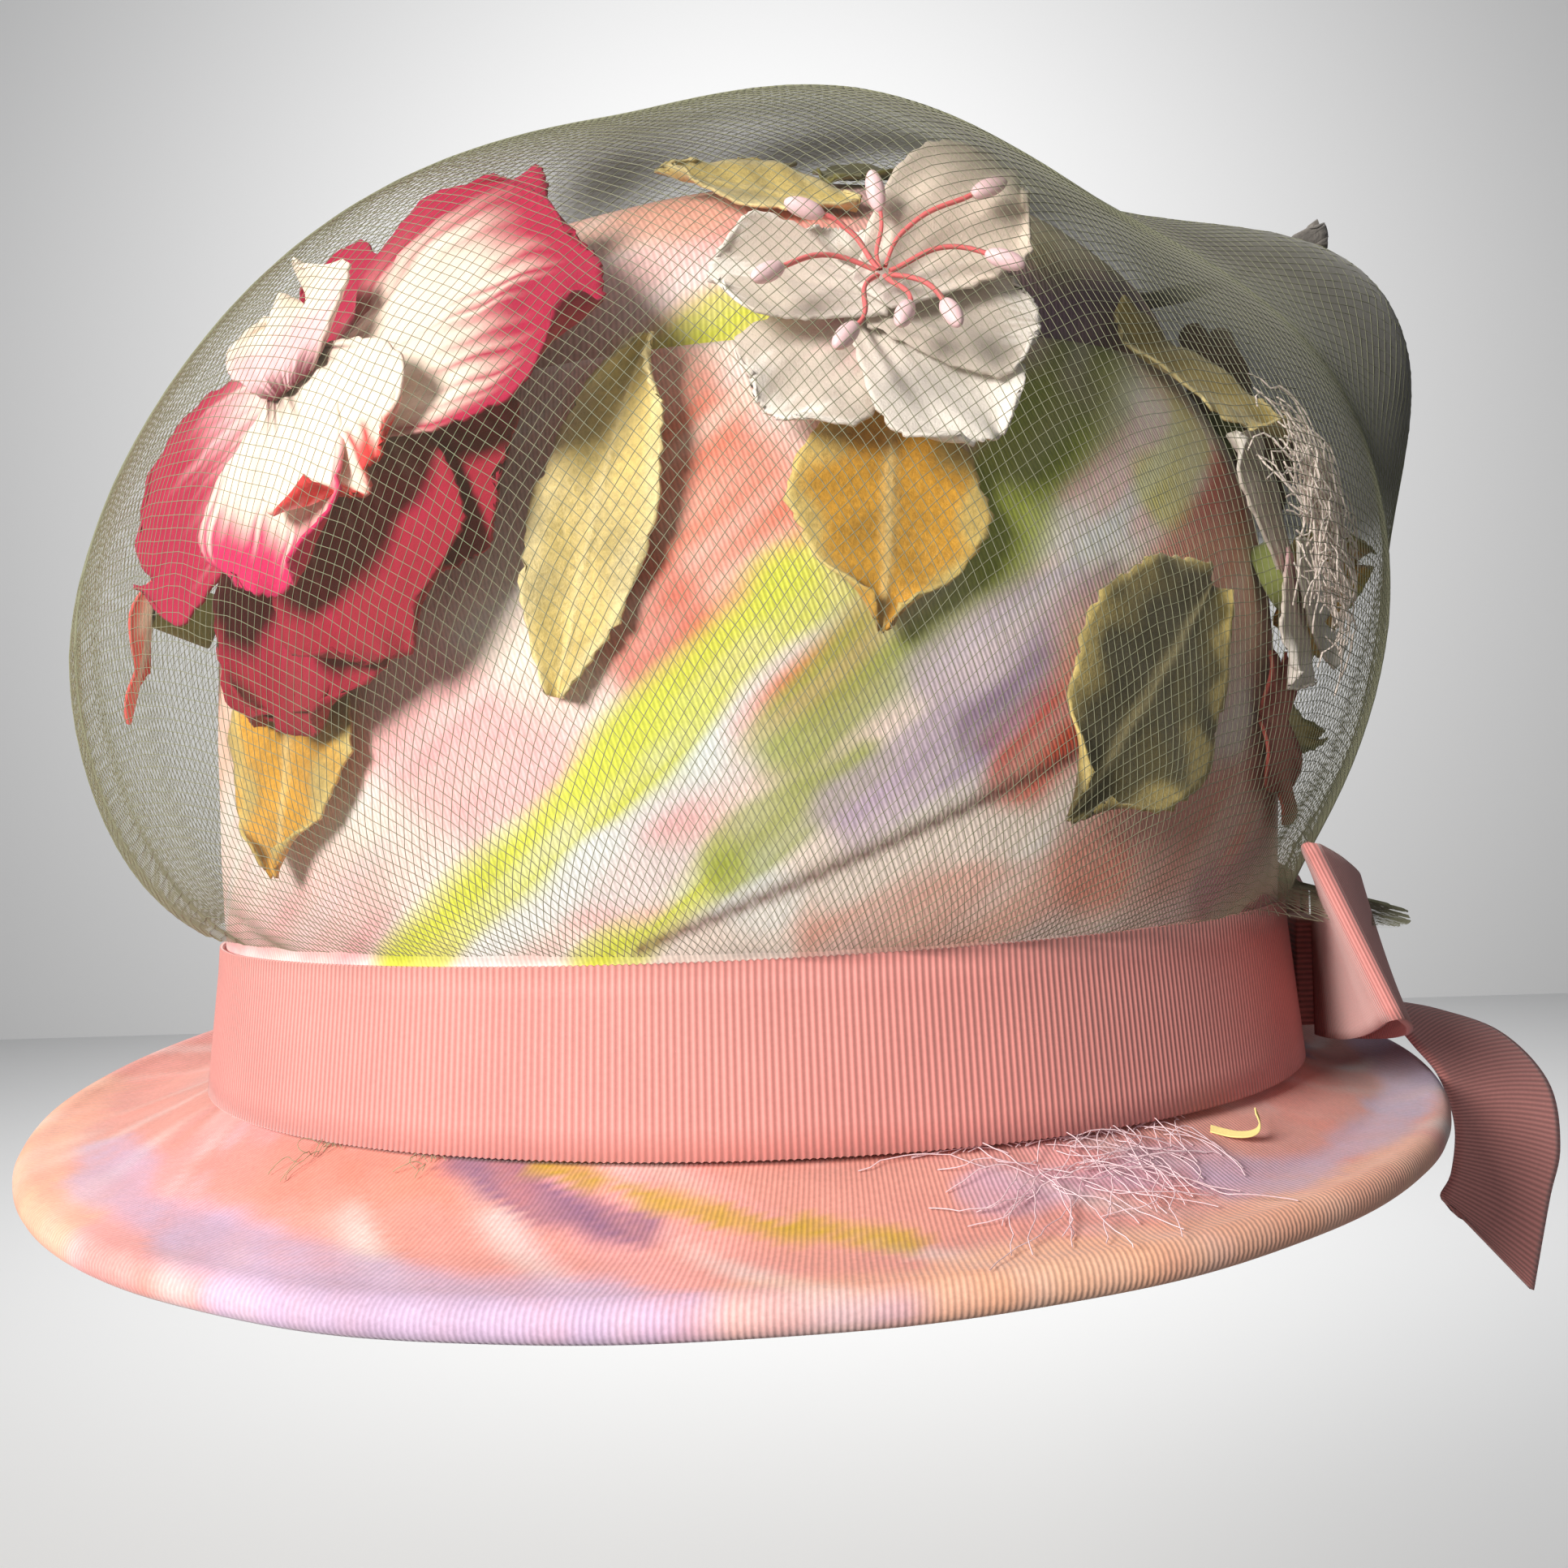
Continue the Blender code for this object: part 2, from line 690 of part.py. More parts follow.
def blade_spots(outline, turn, start, length, width, height_at):
    """A petal's or leaf's grid in the plane of its flower."""
    ahead = Vector((math.cos(math.radians(turn)), math.sin(math.radians(turn))))
    aside = Vector((ahead.y, -ahead.x))
    spots = []
    for along, half in outline:
        for edge in (-1.0, -0.5, 0.0, 0.5, 1.0):
            rounding = 0.10 * length * edge * edge if along > 0.9 else 0.0
            spot = ahead * (start + length * along - rounding)
            spot = spot + aside * (0.5 * width * half * edge)
            spots.append((spot.x, spot.y, height_at(spot, along, edge)))
    return spots


def flower_petals(name, azimuth, elevation, out, radius, low_bowl, high_bowl, rows):
    """Petals stacked outwards, each layer bowled a little more than the one below."""
    count = len(rows)
    kind = "rose" if name == "rose" else "organza"
    for index, (turn, length, width, layer) in enumerate(rows):
        bowl = low_bowl + (high_bowl - low_bowl) * layer / (count - 1)

        def height_at(spot, along, edge):
            reach = spot.length / radius
            return out + LAYER_PITCH * layer + bowl * radius * reach * reach

        spots = blade_spots(
            ROUND_OUTLINE, turn, -0.06 * radius, radius * length, radius * width, height_at
        )
        node = f"{name}_petal_{index + 1}"
        drape(node, azimuth, elevation, spots, strip_faces(len(ROUND_OUTLINE), 5),
              PETAL_THICK, kind)


def disc_faces(rings, count):
    """Faces of a disc seen from outside: a middle point, then rings outwards."""
    faces = [(0, 1 + step, 1 + (step + 1) % count) for step in range(count)]
    for ring in range(rings - 1):
        inside, outside = 1 + ring * count, 1 + (ring + 1) * count
        for step in range(count):
            ahead = (step + 1) % count
            faces.append((inside + step, outside + step, outside + ahead, inside + ahead))
    return faces


def stamped_blossom(name, azimuth, elevation, out, share, lobes, spin, bowl):
    """A blossom stamped from one piece of cloth."""
    radius = SIDE_FLOWER_RADIUS * share
    count = lobes * 4
    reaches = (0.45, 1.0)
    spots = [(0.0, 0.0, out)]
    for reach in reaches:
        for step in range(count):
            turn = math.radians(360.0 * step / count + spin)
            lobe = abs(math.sin(0.5 * lobes * (turn - math.radians(spin))))
            edge = reach * (1.0 - 0.34 * reach * (1.0 - lobe ** 0.6))
            spot = Vector((math.cos(turn), math.sin(turn))) * (radius * edge)
            spots.append((spot.x, spot.y, out + bowl * radius * edge * edge))
    kind = "brown" if name.startswith("brown") else "pink"
    if name.startswith("cream"):
        kind = "organza"
    drape(name, azimuth, elevation, spots, disc_faces(len(reaches), count),
          PETAL_THICK, kind)


def flower_base(name, azimuth, elevation, out, radius_share, kind):
    """The stub that a flower is sewn down by, from the crown to just under its lowest petal."""
    radius = BUTTON_RADIUS * radius_share
    count = 8
    spots = [(0.0, 0.0, GAP)]
    for step in range(count):
        turn = math.tau * step / count
        spots.append((radius * math.cos(turn), radius * math.sin(turn), GAP))
    drape(name, azimuth, elevation, spots, disc_faces(1, count), out - 2.5 * GAP, kind)


def stamens():
    """The white blossom's threads with their pearl tips, fanned from one button."""
    name, azimuth, elevation, out, radius, low_bowl, high_bowl, rows = FLOWERS[1]
    base_out = out + LAYER_PITCH * (len(rows) - 1) + PETAL_THICK + GAP + 0.25
    turns = (8.0, 52.0, 98.0, 132.0, 178.0, 232.0, 278.0, 318.0)
    reaches = (0.92, 1.10, 0.62, 0.74, 0.98, 1.02, 0.60, 0.72)
    # Along the thread, half width, lift
    profile = (
        # along, half_width, lift
        (0.52, 0.50 * STAMEN_THREAD, 1.2),
        (0.78, 0.55 * STAMEN_THREAD, 2.4),
        (0.90, 0.50 * STAMEN_TIP, 2.9),
        (1.00, 0.24 * STAMEN_TIP, 3.1),
    )
    hub = 0.16 * STAMEN_LENGTH
    spots = [(0.0, 0.0, base_out)]
    for turn in turns:
        for side in (-8.0, 8.0):
            angle = math.radians(turn + side)
            spots.append((hub * math.cos(angle), hub * math.sin(angle), base_out + 0.4))
    ring = 2 * len(turns)
    faces = [(0, 1 + step, 1 + (step + 1) % ring) for step in range(ring)]
    for index, (turn, reach) in enumerate(zip(turns, reaches)):
        angle = math.radians(turn)
        ahead = Vector((math.cos(angle), math.sin(angle)))
        aside = Vector((ahead.y, -ahead.x))
        left, right = 1 + 2 * index, 2 + 2 * index
        for along, half, lift in profile:
            middle = ahead * (STAMEN_LENGTH * reach * along)
            bowl = high_bowl * middle.length ** 2 / radius
            first = len(spots)
            for side in (1.0, -1.0):
                spot = middle + aside * (side * half)
                spots.append((spot.x, spot.y, base_out + bowl + lift * reach * 0.8))
            faces.append((left, first, first + 1, right))
            left, right = first, first + 1
    drape("white_blossom_stamens", azimuth, elevation, spots, faces, STAMEN_THREAD, "thread")


def leaf(name, azimuth, elevation, turn, length, width, tip_rise, cup):
    """A leaf lying on the crown, its tip lifted and its sides cupped."""

    def height_at(spot, along, edge):
        return LEAF_REST + tip_rise * along ** 2 + cup * LEAF_WIDTH * width * (0.5 * edge) ** 2 * 2.0

    spots = blade_spots(
        LEAF_OUTLINE, turn, -0.5 * LEAF_LENGTH * length, LEAF_LENGTH * length,
        LEAF_WIDTH * width, height_at,
    )
    drape(name, azimuth, elevation, spots, strip_faces(len(LEAF_OUTLINE), 5),
          PETAL_THICK, "leaf")


def tent(direction):
    """How far the leaf tips hold the net out in this direction."""
    push, press = 0.0, 0.0
    for azimuth, elevation, reach, spread in VEIL_TENTS:
        away = math.degrees(direction.angle(heading(azimuth, elevation)))
        moved = TENT_REACH * reach * math.exp(-((away / spread) ** 1.3))
        push, press = max(push, moved), min(press, moved)
    return push + press


def veil():
    """The net as a thin wall: gathered at the band, puffed over the flowers, closed on top."""
    wide_x = HEAD_HALF_WIDTH + VEIL_PUFF
    wide_y = HEAD_HALF_DEPTH + VEIL_PUFF
    foot = RIBBON_WIDTH + GAP
    held = RIBBON_THICK + 2.0 * GAP + VEIL_WALL
    outer, inner = [], []
    for share, radius in VEIL_ROWS:
        level = max(foot, VEIL_HEIGHT * share)
        for azimuth in azimuths(VEIL_AROUND):
            point = around(azimuth, wide_x * radius, wide_y * radius, level)
            direction = (point - CENTRE).normalized()
            moved = tent(direction)
            if moved > 0.0:
                moved *= min(1.0, (share - VEIL_ROWS[0][0]) / 0.12)
            point = point + direction * moved
            least = around(
                azimuth,
                HEAD_HALF_WIDTH * crown_share(level) + held,
                HEAD_HALF_DEPTH * crown_share(level) + held,
                point.z,
            )
            at_foot = share == VEIL_ROWS[0][0]
            if at_foot or point.xy.length < least.xy.length:
                point = least
            outer.append(point)
            inner.append(point - direction * VEIL_WALL)
    outer.append(Vector((0.0, 0.0, VEIL_HEIGHT)))
    inner.append(Vector((0.0, 0.0, VEIL_HEIGHT - VEIL_WALL)))
    return plate_body("veil", inner, outer, dome_faces(len(VEIL_ROWS), VEIL_AROUND), "net")


def build():
    clear_scene()
    crown_side()
    crown_tip()
    brim()
    ribbon_band()
    bow_knot()
    bow_loop("bow_loop_front", -1.0)
    bow_loop("bow_loop_back", 1.0)
    bow_tail()
    for name, azimuth, elevation, out, radius, low_bowl, high_bowl, rows in FLOWERS:
        flower_petals(name, azimuth, elevation, out, radius, low_bowl, high_bowl, rows)
        flower_base(name + "_base", azimuth, elevation, out, 1.0, "leaf")
    stamens()
    for row in STAMPED:
        stamped_blossom(*row)
        flower_base(row[0] + "_base", row[1], row[2], row[3], 0.8, "leaf")
    for row in LEAVES:
        leaf(*row)
    veil()


build()
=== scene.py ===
# %% [markdown]
# A veiled hat of printed ribbed cloth.
# The hat has a tall side and a low dome, a sloping brim with a padded roll, a ribbed ribbon with a bow,
# a heap of cloth flowers and leaves, and a fine net gathered over all of it.
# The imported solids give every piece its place. Each step below makes the finished piece that stands for one.

# %% Load the solids
import math
import bpy
import numpy as np
from mathutils import Matrix, Vector
from mathutils.bvhtree import BVHTree


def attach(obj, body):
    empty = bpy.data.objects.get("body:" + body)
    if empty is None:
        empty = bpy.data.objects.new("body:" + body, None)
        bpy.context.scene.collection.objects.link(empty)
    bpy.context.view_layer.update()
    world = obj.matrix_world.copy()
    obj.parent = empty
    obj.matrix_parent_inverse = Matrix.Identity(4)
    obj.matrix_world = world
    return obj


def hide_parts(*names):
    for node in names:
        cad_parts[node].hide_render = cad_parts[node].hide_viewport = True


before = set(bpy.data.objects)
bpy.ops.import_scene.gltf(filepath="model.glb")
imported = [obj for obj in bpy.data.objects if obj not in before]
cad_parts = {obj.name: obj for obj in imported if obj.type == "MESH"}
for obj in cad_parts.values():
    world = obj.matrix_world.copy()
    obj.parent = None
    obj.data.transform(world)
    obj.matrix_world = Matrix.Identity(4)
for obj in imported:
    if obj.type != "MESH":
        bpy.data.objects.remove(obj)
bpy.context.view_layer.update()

# %% [markdown]
# The camera stands close to the hat, a little above the ribbon, so near parts look larger.
# A lens is chosen by its angle: 37.5 mm on a 36 mm wide picture. The camera leans over by 1.7 degrees.

# %% Camera
CAMERA_PLACE = (0.0058, -0.300, 0.045)
CAMERA_ROLL = 1.7
LENS = 37.49

roll_cos, roll_sin = math.cos(math.radians(CAMERA_ROLL)), math.sin(math.radians(CAMERA_ROLL))
lens = bpy.data.cameras.new("camera")
camera = bpy.data.objects.new("camera", lens)
bpy.context.scene.collection.objects.link(camera)
bpy.context.scene.camera = camera
lens.lens = LENS
lens.sensor_width = 36.0
lens.shift_y = 0.0098
lens.clip_start = 0.01
camera.matrix_world = Matrix((
    (roll_cos, roll_sin, 0.0, CAMERA_PLACE[0]),
    (0.0, 0.0, -1.0, CAMERA_PLACE[1]),
    (-roll_sin, roll_cos, 0.0, CAMERA_PLACE[2]),
    (0.0, 0.0, 0.0, 1.0),
))
print("camera at", CAMERA_PLACE)

# %% [markdown]
# A studio is a pale floor, a pale backdrop far behind, and soft lamps.
# Large area lamps give soft edges to the shadows. The strong one stands at the front left and is a little
# warm, because the left of the hat is bright and the right falls into shade. Floor and backdrop look pale to
# the camera, and a Light Path node makes them throw back less light, so that the shade stays deep.

# %% Studio
BOUNCE = 0.35
AIR_LIGHT = 0.22
AIR_SEEN = 0.85
PALE = 0.90
STUDIO_SIZE = 12.0
HAT_MIDDLE = (0.0, 0.0, 0.05)


def studio_paint(name):
    """A plain pale paint. It throws less light on the hat than its paleness would."""
    paint = bpy.data.materials.new(name)
    paint.use_nodes = True
    nodes, links = paint.node_tree.nodes, paint.node_tree.links
    shader = nodes["Principled BSDF"]
    shader.inputs["Roughness"].default_value = 0.9
    rays = nodes.new("ShaderNodeLightPath")
    tone = nodes.new("ShaderNodeMix")
    tone.data_type = "RGBA"
    tone.inputs["A"].default_value = (PALE * BOUNCE, PALE * BOUNCE, PALE * BOUNCE, 1.0)
    tone.inputs["B"].default_value = (PALE, PALE, PALE, 1.0)
    links.new(rays.outputs["Is Camera Ray"], tone.inputs["Factor"])
    links.new(tone.outputs["Result"], shader.inputs["Base Color"])
    return paint


def studio_plane(name, place, turn):
    bpy.ops.object.select_all(action="DESELECT")
    bpy.ops.mesh.primitive_plane_add(size=STUDIO_SIZE, location=place, rotation=turn)
    plane = bpy.context.object
    plane.name = name
    plane.data.materials.append(studio_paint(name + "_paint"))


def lamp(name, place, aim, width, power, colour):
    light = bpy.data.lights.new(name, "AREA")
    light.shape = "DISK"
    light.size = width
    light.energy = power
    light.color = colour
    holder = bpy.data.objects.new(name, light)
    bpy.context.scene.collection.objects.link(holder)
    holder.location = place
    holder.rotation_euler = (Vector(aim) - Vector(place)).to_track_quat("-Z", "Y").to_euler()


studio_plane("floor", (0.0, 3.0, -0.42), (0.0, 0.0, 0.0))
studio_plane("backdrop", (0.0, 3.2, 1.0), (math.radians(90.0), 0.0, 0.0))
lamp("key_lamp", (-0.54, -0.76, 0.34), HAT_MIDDLE, 0.36, 15.5, (1.0, 0.95, 0.88))
lamp("top_lamp", (-0.25, 0.25, 1.00), HAT_MIDDLE, 0.80, 3.0, (1.0, 0.98, 0.95))
lamp("backdrop_lamp", (0.0, 1.2, 1.3), (0.0, 3.2, 0.2), 1.5, 42.0, (1.0, 1.0, 1.0))
world = bpy.data.worlds.new("studio_air")
bpy.context.scene.world = world
world.use_nodes = True
world.node_tree.nodes["Background"].inputs["Color"].default_value = (0.95, 0.97, 1.0, 1.0)
seen_air = world.node_tree.nodes.new("ShaderNodeLightPath")
air = world.node_tree.nodes.new("ShaderNodeMapRange")
air.inputs["To Min"].default_value = AIR_LIGHT
air.inputs["To Max"].default_value = AIR_SEEN
world.node_tree.links.new(seen_air.outputs["Is Camera Ray"], air.inputs["Value"])
world.node_tree.links.new(air.outputs["Result"], world.node_tree.nodes["Background"].inputs["Strength"])
bpy.context.scene.view_settings.view_transform = "Standard"
print("studio: floor, backdrop and three lamps")

# %% [markdown]
# Measures are in millimetres here, as a hat maker writes them, and become metres when a mesh is filled.
# The outlines are the same as those of the solids: a short table of heights and radii, drawn smooth.

# %% Sizes and outlines of the hat
MM = 0.001
HEAD_HALF_WIDTH = 94.4
HEAD_HALF_DEPTH = 96.0
SIDE_HEIGHT = 107.0
TIP_HEIGHT = 39.0
CROWN_HEIGHT = SIDE_HEIGHT + TIP_HEIGHT
CROWN_LEAN = 9.0
GAP = 0.3
CENTRE = np.array([0.0, 0.0, 0.27 * CROWN_HEIGHT])
CARRIER_MARGIN = 0.25
SIDE_SHARES = (0.0, 0.223, 0.390, 0.550, 0.700, 0.800, 0.890, 0.960, 1.0)
SIDE_RADII = (1.0, 0.973, 0.980, 0.980, 0.972, 0.950, 0.915, 0.866, 0.834)
TIP_SHARES = (0.0, 0.12, 0.40, 0.68, 0.88, 0.98, 1.0)
TIP_RADII = (0.834, 0.834, 0.770, 0.650, 0.450, 0.200, 0.0)
crown_levels = np.concatenate([
    np.array(SIDE_SHARES) * SIDE_HEIGHT, SIDE_HEIGHT + np.array(TIP_SHARES[1:]) * TIP_HEIGHT,
])
crown_radii = np.array(SIDE_RADII + TIP_RADII[1:])


def smooth_step(value):
    """From 0 to 1 with soft ends."""
    value = np.clip(value, 0.0, 1.0)
    return value * value * (3.0 - 2.0 * value)


def ripple(points, size, seed):
    """Soft waves of about this size in every direction, from -1 to 1."""
    draw = np.random.default_rng(seed)
    total = np.zeros(len(points))
    for _ in range(7):
        way = draw.normal(size=points.shape[1])
        way = way / np.linalg.norm(way) * (math.tau / (size * draw.uniform(0.7, 1.5)))
        total += np.sin(points @ way + draw.uniform(0.0, math.tau))
    return total / 3.5


def soft_table(places, values, count, reach):
    """A table drawn as a smooth line: places in even steps, values averaged over a short reach."""
    even = np.linspace(places[0], places[-1], count)
    line = np.interp(even, places, values)
    width = max(1, int(reach / (even[1] - even[0])))
    padded = np.concatenate([
        2.0 * line[0] - line[1:width + 1][::-1], line, 2.0 * line[-1] - line[-width - 1:-1][::-1],
    ])
    kernel = np.hanning(2 * width + 3)[1:-1]
    return even, np.convolve(padded, kernel / kernel.sum(), mode="same")[width:-width]


def crown_share(level):
    return np.interp(level, crown_levels, crown_radii)


def front_way(azimuth):
    """The same azimuth, from -180 to 180 degrees."""
    return (azimuth + 180.0) % 360.0 - 180.0


def at_seam(across):
    """Where a piece that goes round the head meets itself, at the back."""
    return np.isclose(across, 1.0) | np.isclose(across, 0.0)


def leaned(points):
    """The crown stands a little higher on its right."""
    points[:, 2] *= 1.0 + CROWN_LEAN * points[:, 0] / (CROWN_HEIGHT * HEAD_HALF_WIDTH)
    return points


def around(azimuth, wide_x, wide_y, level):
    turn = np.radians(azimuth)
    return np.stack([wide_x * np.cos(turn), wide_y * np.sin(turn), level + 0.0 * turn], axis=1)


def heading(azimuth, elevation):
    turn, rise = math.radians(azimuth), math.radians(elevation)
    return np.array([math.cos(rise) * math.cos(turn), math.cos(rise) * math.sin(turn), math.sin(rise)])


def carrier(ways):
    """Distance from the crown's middle to just outside the crown, for each way."""
    near = np.zeros(len(ways))
    far = np.full(len(ways), 4.0 * CROWN_HEIGHT)
    for _ in range(34):
        middle = 0.5 * (near + far)
        spot = CENTRE + ways * middle[:, None]
        level = spot[:, 2] / (1.0 + CROWN_LEAN * spot[:, 0] / (CROWN_HEIGHT * HEAD_HALF_WIDTH))
        reach = np.hypot(spot[:, 0] / HEAD_HALF_WIDTH, spot[:, 1] / HEAD_HALF_DEPTH)
        inside = (level < CROWN_HEIGHT) & (reach < crown_share(np.maximum(0.0, level)))
        near = np.where(inside, middle, near)
        far = np.where(inside, far, middle)
    return near + CARRIER_MARGIN


def on_hat(azimuth, elevation, sideways, upwards, out):
    """Points laid on the crown round one middle: right, up and distance from the cloth."""
    facing = heading(azimuth, elevation)
    right = np.array([-facing[1], facing[0], 0.0])
    right = right / np.linalg.norm(right)
    up = np.cross(facing, right)
    foot = facing * carrier(facing[None, :])[0]
    ways = foot + right * sideways[:, None] + up * upwards[:, None]
    ways = ways / np.linalg.norm(ways, axis=1)[:, None]
    return CENTRE + ways * (carrier(ways) + out)[:, None]


print("crown:", CROWN_HEIGHT, "mm tall,", 2 * HEAD_HALF_WIDTH, "mm wide")

# %% [markdown]
# Cloth is made here from one flat grid. The grid is added as a primitive, and every corner of it is then put
# where the cloth runs, as a cutter lays a flat piece over a block. A wall is added with a Solidify modifier.
# The same grid keeps its flat place as UV, so that ribs and weave follow the cloth.
# Painted colour is kept on the corners as a colour attribute: the print, and in some pieces painted shade.

# %% Cloth maker
def tint(red, green, blue):
    """A colour as seen, 0 to 255, in the light values that Blender mixes."""
    share = np.array([red, green, blue]) / 255.0
    return np.where(share <= 0.04045, share / 12.92, ((share + 0.055) / 1.055) ** 2.4)


def blend_colour(below, above, amount):
    return below + (above - below) * np.clip(amount, 0.0, 1.0)[:, None]


def apply_modifier(piece, kind, **settings):
    """Add a modifier to the active piece, set it and apply it."""
    bpy.ops.object.modifier_add(type=kind)
    modifier = piece.modifiers[-1]
    for name, value in settings.items():
        setattr(modifier, name, value)
    bpy.ops.object.modifier_apply(modifier=modifier.name)


def keep(piece, node, slot_name):
    """The finished piece rides on the hat and stands for its solid."""
    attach(piece, "root")
    if node:
        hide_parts(node)
    return piece


def cloth(name, columns, rows, shape, finish, wall=0.0, side=-1.0, close=False):
    bpy.ops.object.select_all(action="DESELECT")
    bpy.ops.mesh.primitive_grid_add(x_subdivisions=columns, y_subdivisions=rows, size=1.0)
    piece = bpy.context.object
    piece.name = name
    mesh = piece.data
    mesh.name = name
    count = len(mesh.vertices)
    flat = np.empty(count * 3)
    mesh.vertices.foreach_get("co", flat)
    flat = flat.reshape(-1, 3)
    points, dye_and_shade = shape(flat[:, 0] + 0.5, flat[:, 1] + 0.5)
    mesh.vertices.foreach_set("co", (points * MM).ravel())
    if dye_and_shade is not None:
        layer = mesh.color_attributes.new("dye_and_shade", "FLOAT_COLOR", "POINT")
        full = np.ones((count, 4))
        full[:, :dye_and_shade.shape[1]] = dye_and_shade
        layer.data.foreach_set("color", full.ravel())
    mesh.update()
    if close:
        bpy.ops.object.mode_set(mode="EDIT")
        bpy.ops.mesh.select_all(action="SELECT")
        bpy.ops.mesh.remove_doubles(threshold=0.00002)
        bpy.ops.object.mode_set(mode="OBJECT")
    if wall:
        apply_modifier(piece, "SOLIDIFY", thickness=wall * MM, offset=side)
    bpy.ops.object.shade_smooth()
    mesh.materials.append(finish)
    return piece


print("cloth maker ready")

# %% [markdown]
# Finishes. Ribbed cloth has a fine line every 0.7 mm, and ribbon one every 0.9 mm.
# A sine wave along the cloth gives the line: it paints shade into the grooves and feeds a Bump node.
# The wave is a shader group with its own inputs, because the crown, the brim and the ribbon all use it.

# %% Shader groups
def fill(tree, node, **sources):
    """Fill a node's sockets, by name, with numbers or with other nodes' outputs."""
    for name, source in sources.items():
        socket = node.inputs[name.replace("_", " ")]
        if isinstance(source, bpy.types.NodeSocket):
            tree.links.new(source, socket)
        else:
            socket.default_value = source
    return node


def new_node(tree, kind, **sources):
    return fill(tree, tree.nodes.new("ShaderNode" + kind), **sources)


def calc(tree, operation, *sources):
    """A maths node on up to three numbers or outputs."""
    node = new_node(tree, "Math")
    node.operation = operation
    for socket, source in zip(node.inputs, sources):
        if isinstance(source, bpy.types.NodeSocket):
            tree.links.new(source, socket)
        else:
            socket.default_value = source
    return node.outputs[0]


def new_group(name, taken, given):
    """A shader group with its inputs and outputs."""
    group = bpy.data.node_groups.new(name, "ShaderNodeTree")
    for title, kind in taken:
        group.interface.new_socket(title, in_out="INPUT", socket_type="NodeSocket" + kind)
    for title in given:
        group.interface.new_socket(title, in_out="OUTPUT", socket_type="NodeSocketFloat")
    start, end = group.nodes.new("NodeGroupInput"), group.nodes.new("NodeGroupOutput")
    return group, start.outputs, end


def rib_group():
    """Ribs across a surface: Place times Ribs counts the lines, Wander lets them swim a little."""
    group, taken, end = new_group(
        "cloth_ribs", (("Place", "Vector"), ("Ribs", "Vector"), ("Wander", "Float")), ("Height",))
    count = new_node(group, "VectorMath")
    count.operation = "DOT_PRODUCT"
    group.links.new(taken["Place"], count.inputs[0])
    group.links.new(taken["Ribs"], count.inputs[1])
    place = new_node(group, "TexCoord").outputs["Object"]
    swim = new_node(group, "TexNoise", Vector=place, Scale=70.0, Detail=2.0).outputs["Fac"]
    shift = calc(group, "MULTIPLY_ADD", swim, taken["Wander"], count.outputs["Value"])
    wave = calc(group, "SINE", calc(group, "MULTIPLY", shift, math.tau))
    level = new_node(group, "MapRange", Value=wave, From_Min=-1.0)
    fill(group, end, Height=level.outputs["Result"])
    return group


def grain_group():
    """Uneven cloth: a soft patch noise and a fine fibre noise, both round 1."""
    group, taken, end = new_group(
        "cloth_grain", (("Fibre", "Float"), ("Amount", "Float")), ("Shade", "Height"))
    place = new_node(group, "TexCoord").outputs["Object"]
    fibre = new_node(group, "TexNoise", Vector=place, Scale=taken["Fibre"], Detail=4.0, Roughness=0.65)
    patch = new_node(group, "TexNoise", Vector=place, Scale=55.0, Detail=3.0)
    both = calc(group, "ADD", fibre.outputs["Fac"], patch.outputs["Fac"])
    shade = calc(group, "MULTIPLY_ADD", calc(group, "SUBTRACT", both, 1.0), taken["Amount"], 1.0)
    fill(group, end, Shade=shade, Height=fibre.outputs["Fac"])
    return group


RIBS = rib_group()
GRAIN = grain_group()
print("shader groups:", RIBS.name, GRAIN.name)

# %% [markdown]
# One helper builds each cloth finish: a colour attribute or a plain tone, times the grain, with painted shade
# darker in the grooves, with the ribs or the fibre as a bump. Roughness and sheen are set on the shader
# itself.

# %% Cloth finishes
def scaled(tree, colour, amount):
    """A colour made darker or lighter by an amount."""
    node = new_node(tree, "VectorMath")
    node.operation = "SCALE"
    tree.links.new(colour, node.inputs[0])
    tree.links.new(amount, node.inputs["Scale"])
    return node.outputs[0]


def cloth_finish(name, tone=None, ribs=None, source="UV", wander=0.0, groove_shade=0.3, bump=0.00006,
                 rough=0.7, sheen=0.2, fibre=1500.0, grain=0.5, see_through=False, glow=0.0):
    finish = bpy.data.materials.new(name)
    finish.use_nodes = True
    tree = finish.node_tree
    shader = fill(tree, tree.nodes["Principled BSDF"], Roughness=rough, Sheen_Weight=sheen,
                  Subsurface_Weight=glow, Subsurface_Radius=(0.004, 0.003, 0.002),
                  Specular_IOR_Level=0.3)
    uneven = tree.nodes.new("ShaderNodeGroup")
    uneven.node_tree = GRAIN
    fill(tree, uneven, Fibre=fibre, Amount=grain)
    if tone is None:
        # The colour attribute holds the print and, in some pieces, painted shade.
        colour = new_node(tree, "Attribute")
        colour.attribute_name = "dye_and_shade"
    else:
        colour = new_node(tree, "RGB")
        colour.outputs[0].default_value = (*tone, 1.0)
    shade = scaled(tree, colour.outputs[0], uneven.outputs["Shade"])
    height = uneven.outputs["Height"]
    if ribs:
        lines = tree.nodes.new("ShaderNodeGroup")
        lines.node_tree = RIBS
        place = new_node(tree, "TexCoord").outputs[source]
        height = fill(tree, lines, Place=place, Ribs=ribs, Wander=wander).outputs["Height"]
        # Painted shade: the colour is darker in the rib grooves.
        dark = new_node(tree, "MapRange", Value=height, To_Min=1.0 - groove_shade)
        shade = scaled(tree, shade, dark.outputs["Result"])
    raised = new_node(tree, "Bump", Distance=bump, Height=height)
    fill(tree, shader, Base_Color=shade, Normal=raised.outputs["Normal"])
    if see_through:
        fill(tree, shader, Alpha=colour.outputs["Alpha"])
    return finish


def ribbon_cloth_finish(name, tone, ribs, groove_shade=0.42, source="UV"):
    return cloth_finish(name, tone=tone, ribs=ribs, source=source, groove_shade=groove_shade, bump=0.0001,
                        rough=0.6, sheen=0.3, grain=0.25)


